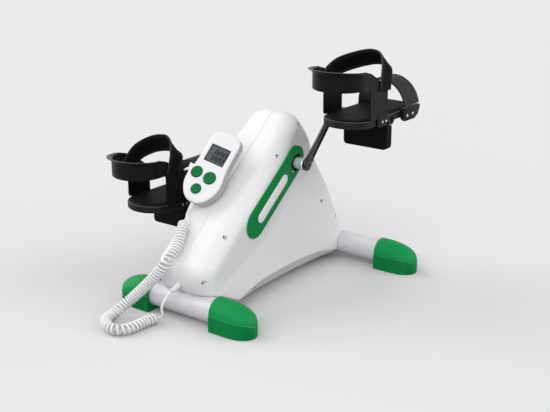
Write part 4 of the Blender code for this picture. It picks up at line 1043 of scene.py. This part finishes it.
def plate_outline(inset):
    half = PLATE_HALF - inset
    outline = []
    for k in range(33):
        angle = pi + pi * k / 32
        outline.append((half * cos(angle), HEEL_END + HEEL_DEPTH + (HEEL_DEPTH - inset) * sin(angle)))
    corner = 0.014 - inset * 0.6
    for cx, start in ((half - corner, 0.0), (-half + corner, 0.5)):
        outline += arc((cx, TOE_END - inset - corner), corner, start, 0.5, 8)
    return outline


def plate_layers(levels):
    return [[(x, y, z) for x, y in plate_outline(inset)] for inset, z in levels]


CUP_HALF = 0.0535
CUP_FOOT = -0.0055
CUP_BAND = 0.012
CUP_POST_BACK = -0.081
CUP_HOLLOW = 0.005
CUP_BACK_LOW = 0.074


def cup_low(y):
    """Lower edge of the heel cup's side wall: a foot beside the plate, a post, then the open band."""
    if y > -0.054:
        return CUP_FOOT
    if y > -0.061:
        share = (-0.054 - y) / 0.007
        return CUP_FOOT + (CUP_BAND - CUP_FOOT) * (3 * share**2 - 2 * share**3)
    if y > CUP_POST_BACK:
        return CUP_BAND
    return CUP_BAND + CUP_HOLLOW - sqrt(max(CUP_HOLLOW**2 - (y - CUP_POST_BACK) ** 2, 0.0))


def cup_rows():
    """Rows round the heel cup: place, way out, lower edge, rim and how far the rim flares."""
    rows = []
    for y in np.concatenate([np.linspace(-0.0245, -0.081, 40), np.linspace(-0.0822, -0.086, 6)]):
        rim = float(np.interp(-y, (0.0245, 0.042, 0.056, 0.086), (0.064, 0.076, 0.0865, 0.103)))
        rows.append(((CUP_HALF, y), (1.0, 0.0), cup_low(y), rim, 0.0))
    for y in np.concatenate([np.linspace(-0.0862, -0.0912, 7), np.linspace(-0.094, -0.104, 4)]):
        low = CUP_BACK_LOW - CUP_HOLLOW + sqrt(max(CUP_HOLLOW**2 - max(y + 0.0912, 0.0) ** 2, 0.0))
        rows.append(((CUP_HALF, y), (1.0, 0.0), low, 0.1031 + 0.0059 * (-0.0862 - y) / 0.0208, 0.0))
    mirrored = [((-p[0], p[1]), (-d[0], d[1]), low, rim, flare) for p, d, low, rim, flare in rows[::-1]]
    for k in range(41):
        out, back = cos(pi * k / 40), sin(pi * k / 40)
        place = (CUP_HALF * out, -0.107 - CUP_HALF * back)
        rows.append((place, (out, -back), CUP_BACK_LOW, 0.109 + 0.005 * back, 0.0105 * back**0.6))
    return rows + mirrored


def heel_cup():
    rings = []
    for (x, y), (dx, dy), low, rim, flare in cup_rows():
        wall = []
        for drop in (0.98, 0.7, 0.4, 0.2, 0.13, 0.06):
            z = rim - (rim - low) * drop
            wall.append((z, flare * max(0.0, (z - rim + 0.009) / 0.009) ** 2))
        ring = [(0.0006, low)] + [(-bend, z) for z, bend in wall]
        ring += [(-flare - 0.0002, rim - 0.0012), (-flare - 0.0006, rim - 0.0006)]
        ring += [(-flare - 0.0002, rim + 0.0002), (0.0012 - flare * 0.9, rim + 0.0004)]
        ring.append((0.0024 - flare * 0.8, rim - 0.0002))
        ring += [(0.003 - bend * 0.75, z) for z, bend in wall[::-1]] + [(0.0024, low)]
        rings.append([(x - dx * inset, y - dy * inset, z) for inset, z in ring])
    return loft(rings)


def strap_frames(points):
    """Fine places along a strap and its ways across and out, from x, y, z in mm and a lean in degrees."""
    rows = smooth(smooth(np.array(points) / (1000, 1000, 1000, 1), 2), 4)
    places = rows[:, :3]
    along = directions(places)
    lean = np.radians(rows[:, 3])
    across = np.stack([0 * lean, np.cos(lean), -np.sin(lean)], axis=1)
    across -= along * (across * along).sum(axis=1)[:, None]
    across /= np.linalg.norm(across, axis=1)[:, None]
    return places, across, np.cross(along, across)


def strap_band(frames, width, crown=0.0, both=False):
    """A strap piped at both edges, with its length and width laid out for the weave."""
    half = STRAP / 2
    top, under = [], []
    for share in np.linspace(-1.0, 1.0, 25):
        pipe = 0.0
        if abs(share) > 0.9:
            pipe = 0.00072 * sqrt(max(0.0, 1 - ((abs(share) - 0.95) / 0.05) ** 2))
        elif abs(share) > 0.84:
            pipe = -0.00025
        rise = crown * (1 - share**2)
        top.append((share * width / 2, half + rise + pipe))
        under.append((share * width / 2, -half + rise - (pipe if both else 0.0)))
    section = np.array(top + under[::-1])
    part = loft([[place + across * v + out * h for v, h in section] for place, across, out in zip(*frames)])
    marks = [(start, length) for start in lengths_along(frames[0]) for length in lengths_along(section)]
    return part, [marks[k] for face in part[1] for k in face]


def stitches(frames, offset, lift, face=1, pitch=0.0042, length=0.0026, radius=0.00035):
    """Thread stitches along one face of a strap, this far from its middle."""
    table = np.hstack(frames).T
    along = lengths_along(frames[0])
    parts = []
    for start in np.arange(0.006, along[-1] - 0.006, pitch):
        points = []
        for share, up in ((0.0, -0.0002), (0.2, lift), (0.8, lift), (1.0, -0.0002)):
            row = np.array([np.interp(start + length * share, along, column) for column in table])
            points.append(row[:3] + row[3:6] * offset + row[6:] * face * (STRAP / 2 + up))
        parts.append(tube_along(points, [radius] * 4, 6))
    return joined(parts)


ANKLE = {
    "right": [
        (-48.8, -88, 77, 50), (-48.5, -74, 89, 53), (-42, -50, 102.5, 59), (-20, -25, 113, 60),
        (8, -9.5, 120, 58), (36, -14, 119.5, 46), (51, -27, 109, 20), (55.2, -35, 90, 2), (55.2, -37, 64, 0),
    ],
    "left": [
        (-48.4, -88, 77, 52), (-47.8, -78, 88.5, 57), (-42, -61, 104.5, 65), (-16, -43.5, 120, 71),
        (22, -43, 127, 70), (45, -49, 120, 40), (54.6, -57.5, 107, 12), (55.2, -64, 89, -6),
        (55.2, -68, 73, -10),
    ],
}
TOE = [(-51.5, -4), (-51.5, 26), (-41, 50), (-16, 65), (8, 67), (33, 55), (48, 36), (54, 18.5)]
TOE_Y = 67.5
ANKLE_WIDTH = 0.036
ANKLE_SEAM = 0.014
BINDING_AT = 0.0178
TOE_WIDTH = 0.055
TOE_SEAM = 0.0225
SPINDLE_NEAR = 0.0508
SPINDLE_FAR = 0.044
PLATE_BOSS = 0.0105
PLATE_BORE = 0.0064


def spindle_profile():
    inner, outer = ARM_INNER + 0.0005 - PEDAL_X, ARM_OUTER - PEDAL_X
    profile = [(inner, 0.0), (inner, 0.0052), (inner + 0.0008, 0.006), (outer + 0.0003, 0.006)]
    profile += [(outer + 0.0003, 0.009), (outer + 0.0009, 0.0095), (-SPINDLE_NEAR - 0.0006, 0.0095)]
    profile += [(-SPINDLE_NEAR, 0.009), (-SPINDLE_NEAR, 0.006)]
    return profile + [(SPINDLE_FAR, 0.006), (SPINDLE_FAR, 0.0)]


def rivet_parts():
    """Domed rivet heads on the cup's two feet and on the buckle."""
    cup = mm([(53, 0), (53, 2.6), (53.8, 2.5), (54.4, 1.8), (54.7, 0.8), (54.7, 0)])
    buckle = mm([(59, 0), (59, 3), (59.9, 2.9), (60.7, 2), (61, 0.8), (61, 0)])
    spots = [(cup, way, y, z) for way in (1, -1) for y, z in mm([(-40.5, 3.5), (-28, 3)])]
    spots += [(buckle, 1, y, z) for y, z in mm([(42.5, 1.3), (63, 2.5)])]
    return [moved(turned(dome, 20, side=way), shift(0.0, y, z)) for dome, way, y, z in spots]


def build_pedal(side, word):
    turn = crank_turn(side)
    y, z = CRANK[0] + CRANK_RADIUS * cos(turn), CRANK[1] + CRANK_RADIUS * sin(turn)
    at = ROW @ shift(side * PEDAL_X, y, z)

    def piece(name, part, look, node_name=None, body=f"pedal_{word}", **more):
        stands_for = node_name and f"{node_name}_{word}"
        return make(f"{name}_{word}", part, look, body, at, node_name=stands_for, **more)

    body = frame["nodes"][f"pedal_spindle_{word}"]["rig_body"]
    piece("spindle", turned(spindle_profile(), side=side), dark_steel, "pedal_spindle", body)

    levels = mm([(2.2, -2.4), (0.8, -2), (0, -1), (0, 9.8), (0.3, 10.7), (1, 11.2), (3.6, 11.4), (5, 11.2)])
    plate = piece("plate", loft(plate_layers(levels)), plate_black, "foot_plate")
    cut(plate, [cutter(rod(-0.049, 0.049, PLATE_BOSS, 48), at)], operation="UNION")
    cut(plate, [cutter(rod(-0.06, 0.06, PLATE_BORE), at)])
    levels = mm([
        (4.2, 10.6), (4.2, 13.8), (4.6, 14.6), (5.4, 15), (7.4, 15), (7.8, 14.6), (8.6, 14.6), (9, 15.1),
        (9.6, 15.3), (14, 15.3)
    ])
    piece("tread", loft(plate_layers(levels)), black_soft)
    # A grey ring round the plate's top edge: painted highlight
    levels = mm([(3.4, 10.8), (0.4, 10.6), (0.6, 11.4), (1.2, 11.8), (2.2, 11.9), (3.2, 11.7)])
    piece("ledge", loft(plate_layers(levels + levels[:1]), False, False), edge_highlight_grey)

    cup = piece("cup", heel_cup(), cup_black, "heel_cup", sharp=50)
    cup.data.materials.append(edge_highlight_grey)
    # The cup's upward faces take the grey: painted highlight on its rim
    for face in cup.data.polygons:
        if face.normal.z > 0.55:
            face.material_index = 1
    piece("rivets", joined(rivet_parts()), steel)

    outline = mm([(-19, -2.7), (-11.3, -2.7), (-8.5, -8.5), (-1, -11.3), (3, -11.3), (3, -59), (-19, -59)])
    weight = piece("weight", prism(outline, -0.05, 0.05), weight_black, "counterweight")
    lower = [(0.05, 0.01), (-0.05, 0.01)]
    for x, start in ((-0.0415, 1.0), (0.0415, 1.5)):
        lower += arc((x, -0.0505), 0.0085, start, 0.5, 8)
    cut(weight, [cutter(prism(lower, -0.03, 0.02, "Y"), at)], operation="INTERSECT")
    bevel(weight, 0.0045, 4, 50)

    frames = strap_frames(ANKLE[word])
    part, uvs = strap_band(frames, ANKLE_WIDTH, both=True)
    piece("ankle_webbing", part, webbing, "ankle_strap", sharp=60, uvs=uvs)
    seams = [stitches(frames, way * ANKLE_SEAM, 0.00012, face) for way in (-1, 1) for face in (1, -1)]
    piece("ankle_stitching", joined(seams), thread)
    places, across, _ = frames
    binding = [tube_along(places + across * way * BINDING_AT, [0.0015] * len(places), 8) for way in (1, -1)]
    piece("ankle_binding", joined(binding), binding_skin, sharp=60)
    frames = strap_frames([(x, TOE_Y, z, 0) for x, z in TOE])
    part, uvs = strap_band(frames, TOE_WIDTH, 0.0006)
    piece("toe_leather", part, strap_skin, "toe_strap", sharp=60, uvs=uvs)
    seams = [stitches(frames, way * TOE_SEAM, 0.00035) for way in (-1, 1)]
    piece("toe_stitching", joined(seams), thread)

    outline = mm([(30, -4), (36, -9.5), (72, -9.5), (85, -3), (92, 10), (92, 17), (30, 17)])
    buckle = piece("buckle", prism(outline, 0.0503, 0.0598), black, "strap_buckle")
    bevel(buckle, 0.0018, 3, 30)
    grooves = [block((0.0592, 0.02, low), (0.065, 0.11, low + 0.0012)) for low in (-0.005, 0.008, 0.0125)]
    cut(buckle, [cutter(joined(grooves), at)])


for side, word in SIDES:
    build_pedal(side, word)


# Handset
HANDSET_HALF = mm([
    (0, 75.7), (13, 75), (26, 70.5), (32, 58), (32.5, 25), (34.5, -2), (38.5, -27), (35.5, -48), (24, -66.5),
    (11, -75), (0, -75.7)
])
BUTTONS = (
    ("left", "button_left", -0.0208, -0.019, 0.0112),
    ("right", "button_right", 0.01, -0.0206, 0.0121),
    ("low", "button_low", -0.0041, -0.05, 0.0098),
)
SCREEN = (0.043, 0.036, (0.0, 0.0267))
SEAM = -0.0113
DIGIT_LEAN = 0.09


def handset_rings(levels):
    """The handset's outline drawn in by each level's inset, at its height."""
    samples = 6
    loop = HANDSET_HALF + [(-x, y) for x, y in HANDSET_HALF[-2:0:-1]]
    points = smooth(loop[-2:] + loop + loop[:3], samples)[2 * samples : -2 * samples - 1]
    along = np.roll(points, -1, axis=0) - np.roll(points, 1, axis=0)
    along /= np.linalg.norm(along, axis=1)[:, None]
    inward = np.stack([-along[:, 1], along[:, 0]], axis=1)
    if (inward * points).sum() > 0:
        inward = -inward
    return [[(x, y, z) for x, y in points + inward * inset] for inset, z in levels]


def digit(x, y, wide, high, thick):
    """The six lit bars of a seven-segment nought."""
    half = thick / 2

    def hexagon(reach):
        low = [(-half, half - reach), (0.0, -reach), (half, half - reach)]
        return low + [(a, -b) for a, b in low[::-1]]

    tall, flat = hexagon(high / 4 - 0.0005), hexagon(wide / 2 - 0.0004)
    corners = [(sx, sy) for sx in (-1, 1) for sy in (-1, 1)]
    bars = [[(x + sx * wide / 2 + a, y + sy * high / 4 + b) for a, b in tall] for sx, sy in corners]
    bars += [[(x + b, y + sy * high / 2 + a) for a, b in flat] for sy in (-1, 1)]
    return [prism([(a + (b - y) * DIGIT_LEAN, b) for a, b in bar], -0.0007, -0.00045, "Z") for bar in bars]


def build_handset():
    def piece(name, part, look, node_name=None, body="handset", sharp=32):
        return make(name, part, look, body, HANDSET, sharp, node_name=node_name)

    levels = mm([
        (11, 0.1), (6, 0.1), (3.6, -0.1), (2, -0.5), (0.9, -1.3), (0.3, -2.3), (0, -3.4), (0, -10.6),
        (0.3, -11), (2.2, -11), (3.2, -4.5), (7.2, -2.8)
    ])
    front = piece("handset_face", loft(handset_rings(levels)), white, "handset_front", sharp=40)
    wide, high, middle = SCREEN
    window = prism(rounded(wide + 0.0006, high + 0.0006, middle, 0.0012), -0.01, 0.01, "Z")
    frame_well = prism(rounded(wide + 0.003, high + 0.003, middle, 0.0022), -0.0004, 0.01, "Z")
    cutters = [cutter(window, HANDSET), cutter(frame_well, HANDSET)]
    spots = [(shift(x, y, 0.0) @ FACING_UP, radius) for _, _, x, y, radius in BUTTONS]
    for at, radius in spots:
        narrow, flared = radius + 0.0004, radius + 0.001
        profile = [(-0.01, 0.0), (-0.01, narrow), (-0.0012, narrow)]
        profile += [(0.0004, flared), (0.01, flared), (0.01, 0.0)]
        cutters.append(cutter(turned(profile), HANDSET @ at))
    cut(front, cutters, 40)
    # The upright faces down the handset's sides take the grey look: painted shade
    front.data.materials.append(handset_side_shade)
    back_to_face = HANDSET.inverted()
    for face in front.data.polygons:
        spot = back_to_face @ face.center
        facing = abs((back_to_face.to_3x3() @ face.normal).z)
        if spot.z < -0.0025 and facing < 0.4:
            face.material_index = 1
    levels = mm([
        (13.5, -11.8), (3.2, -5), (2.2, 0), (0.8, 0), (0, -0.6), (0, -4), (0.2, -7), (0.8, -9.5),
        (2.4, -11.8), (5.5, -13.3), (10, -14)
    ])
    rings = handset_rings([(inset, SEAM + z) for inset, z in levels])
    # The back shell in the same grey: painted shade
    piece("handset_shell", loft(rings), handset_side_shade, "handset_back", sharp=40)

    pane = rounded(wide, high, middle, 0.0009)
    piece("display_pane", prism(pane, -0.003, -0.0006, "Z"), glass, "handset_lens")
    # A black rim inside the display window, wider at the top: painted shade from the window's edge
    hollow = rounded(wide - 0.0034, high - 0.0034, (0.0, middle[1] - 0.0003), 0.0006)
    levels = (pane, -0.0006), (pane, -0.0002), (hollow, -0.0003), (hollow, -0.0006)
    piece("display_shade_rim", loft([[(x, y, z) for x, y in ring] for ring, z in levels], False, False), black)
    bars = [digit(x, middle[1] - 0.0012, 0.0054, 0.0215, 0.0025) for x in (-0.005, 0.0048, 0.0146)]
    piece("display_digits", joined(sum(bars, [])), ink)

    bezel = mm([(-3, 0.3), (-0.3, 0.3), (0.5, 0.4), (0.7, 0.7), (0.4, 1), (-1.1, 0.9), (-3, 0.8)])
    edge = mm([(-5, 0), (1.6, 0), (2.3, 0.3), (2.7, 1), (2.7, 1.6), (2.4, 2.1)])
    # Dark rings round the buttons: painted shade in their wells
    bezels = [moved(turned([(up, radius + out) for up, out in bezel], 56, True), at) for at, radius in spots]
    piece("button_shade_rings", joined(bezels), green_well_shade)
    for (press, node_name, *_), (at, radius) in zip(BUTTONS, spots):
        dome = [(-0.005, 0.0)] + [(up, radius - inset) for up, inset in edge]
        dome += [(0.0024, radius * 0.66), (0.0026, radius * 0.3), (0.0027, 0.0)]
        piece(f"press_{press}", moved(turned(dome, 56), at), green_press, node_name, f"{press}_button")

    horn = mm([(-32, -15, -10), (-40, -17.2, -9.6), (-46.5, -19.8, -8.8), (-51.2, -24.6, -8)])
    horn = smooth(horn, 5)
    radii = np.interp(np.arange(len(horn)), (0, 5, 10, 15), (0.0058, 0.0042, 0.0028, 0.0007))
    piece("handset_ear", tube_along(horn, radii, 20), white, sharp=60)


build_handset()


CRADLE = rounded(0.038, 0.065, (0.0, 0.0125), 0.006, 5)
CRADLE_BACK = -0.0259


def build_cradle():
    """The handset's holder: from its back down to the slope, with a spread foot."""
    turn = HANDSET.to_3x3()
    centre = Vector(HANDSET_CENTRE)
    upper = [centre + turn @ Vector((x, y, CRADLE_BACK)) for x, y in CRADLE]
    normal = Vector((0.0, -sin(SLOPE), cos(SLOPE)))
    foot = Vector((0.0, *SLOPE_FOOT))
    lower = [p - normal * ((p - foot).dot(normal) - 0.0004) for p in upper]
    top, bottom = (sum(ring, Vector()) / len(ring) for ring in (upper, lower))
    rings = []
    for share, size in mm([
        (0, 970), (30, 1000), (300, 1000), (620, 1000), (800, 1020), (880, 1100), (960, 1120), (1000, 1100)
    ]):
        core = top * (1 - share) + bottom * share
        rings.append([core + (high + (low - high) * share - core) * size for high, low in zip(upper, lower)])
    make("cradle", loft(rings), white, sharp=40, node_name="handset_cradle")


build_cradle()


# Power inlet, switch and rocker on the back
def build_rear():
    profile = mm([
        (-14, 0), (-14, 6.4), (0.4, 6.4), (0.4, 8.4), (0.8, 8.8), (1.9, 8.8), (2.4, 8.3), (2.4, 3.6),
        (2, 3.2), (-8, 3.2), (-8, 1.1), (0.1, 1.1), (0.4, 0.8), (0.4, 0)
    ])
    make("inlet", turned(profile), black, "base", INLET, node_name="power_inlet")
    part = block(*mm([(-14, -8, -11), (0.8, 8, 11)]))
    case = make("switch_case", part, black, "base", SWITCH, node_name="power_switch")
    rim = cutter(block(*mm([(0.4, -10, -13), (2.4, 10, 13)])), SWITCH)
    bevel(rim, 0.0008, 3)
    cut(case, [rim], operation="UNION")
    cut(case, [cutter(block(*mm([(-11, -6.2, -9.2), (10, 6.2, 9.2)])), SWITCH)])
    half = mm([(-5.2, 5.8), (1.2, 8.6), (3.2, 8.7), (5, 8.2), (4.4, 4)])
    outline = [(-0.0078, 0.0), *half, (0.0039, 0.0), *((x, -y) for x, y in half[::-1])]
    pivot = SWITCH @ shift(-0.001, 0.0, 0.0)
    part = prism(outline, -0.0058, 0.0058, "Y")
    rocker = make("rocker", part, black_soft, "rocker", pivot, node_name="switch_rocker")
    bevel(rocker, 0.0005, 2, 40)


build_rear()


# Carried-over parts of the drive and the boards
CARRIED = (
    (frame_paint, ("main_frame", "motor_bracket")),
    (steel, ("bearing_left", "bearing_right", "motor_shaft", "crank_axle")),
    (dark_steel, ("motor_pulley", "motor")),
    (black, ("crank_pulley",)),
    (white, ("cord_socket",)),
    (rubber, ("drive_belt",)),
    (board_look, ("control_board", "handset_board")),
)
for look, names in CARRIED:
    for name in names:
        for slot in frame["nodes"][name].material_slots:
            slot.material = look


# Floor, backdrop colour and lamps
LAMPS = (
    ("front_lamp", (0.31, -0.85, 0.46), 1.62),
    ("left_lamp", (-0.78, -0.25, 0.5), 1.72),
    ("right_lamp", (0.8, 0.4, 0.42), 1.32),
)
LAMP_SPREAD = radians(60)


def seen_directly(tree):
    """1 for rays from the camera, a gloss or a clear piece, and 0 for the rest."""
    ray = node(tree, "LightPath").outputs
    seen = maths(tree, "ADD", i0=ray["Is Camera Ray"], i1=ray["Is Glossy Ray"])
    return maths(tree, "ADD", i0=seen, i1=ray["Is Transmission Ray"])


def build_studio():
    scene = bpy.context.scene
    scene.world = bpy.data.worlds.new("studio")
    scene.world.use_nodes = True
    tree = scene.world.node_tree
    strength = span(tree, seen_directly(tree), 0.42, 0.79)
    fill(tree, tree.nodes["Background"], Color=(1.0, 1.0, 1.0, 1.0), Strength=strength)
    mesh = bpy.data.meshes.new("floor")
    mesh.from_pydata([(-12, -12, 0), (12, -12, 0), (12, 12, 0), (-12, 12, 0)], [], [(0, 1, 2, 3)])
    floor = bpy.data.objects.new("floor", mesh)
    scene.collection.objects.link(floor)
    look, tree = new_look("studio_floor")
    cloud = grain_of(tree, object_place(tree), 3.0, 2.0)
    pale = mixed(tree, cloud, (0.735, 0.735, 0.735), (0.75, 0.75, 0.75))
    base = mixed(tree, seen_directly(tree), (0.12, 0.12, 0.12), pale)
    mesh.materials.append(finished(look, Base_Color=base, Roughness=0.9, Specular_IOR_Level=0.1))
    for name, way, energy in LAMPS:
        sun = bpy.data.lights.new(name, "SUN")
        sun.energy = energy
        sun.angle = LAMP_SPREAD
        lamp = bpy.data.objects.new(name, sun)
        scene.collection.objects.link(lamp)
        lamp.rotation_euler = (-Vector(way)).to_track_quat("-Z", "Y").to_euler()


build_studio()
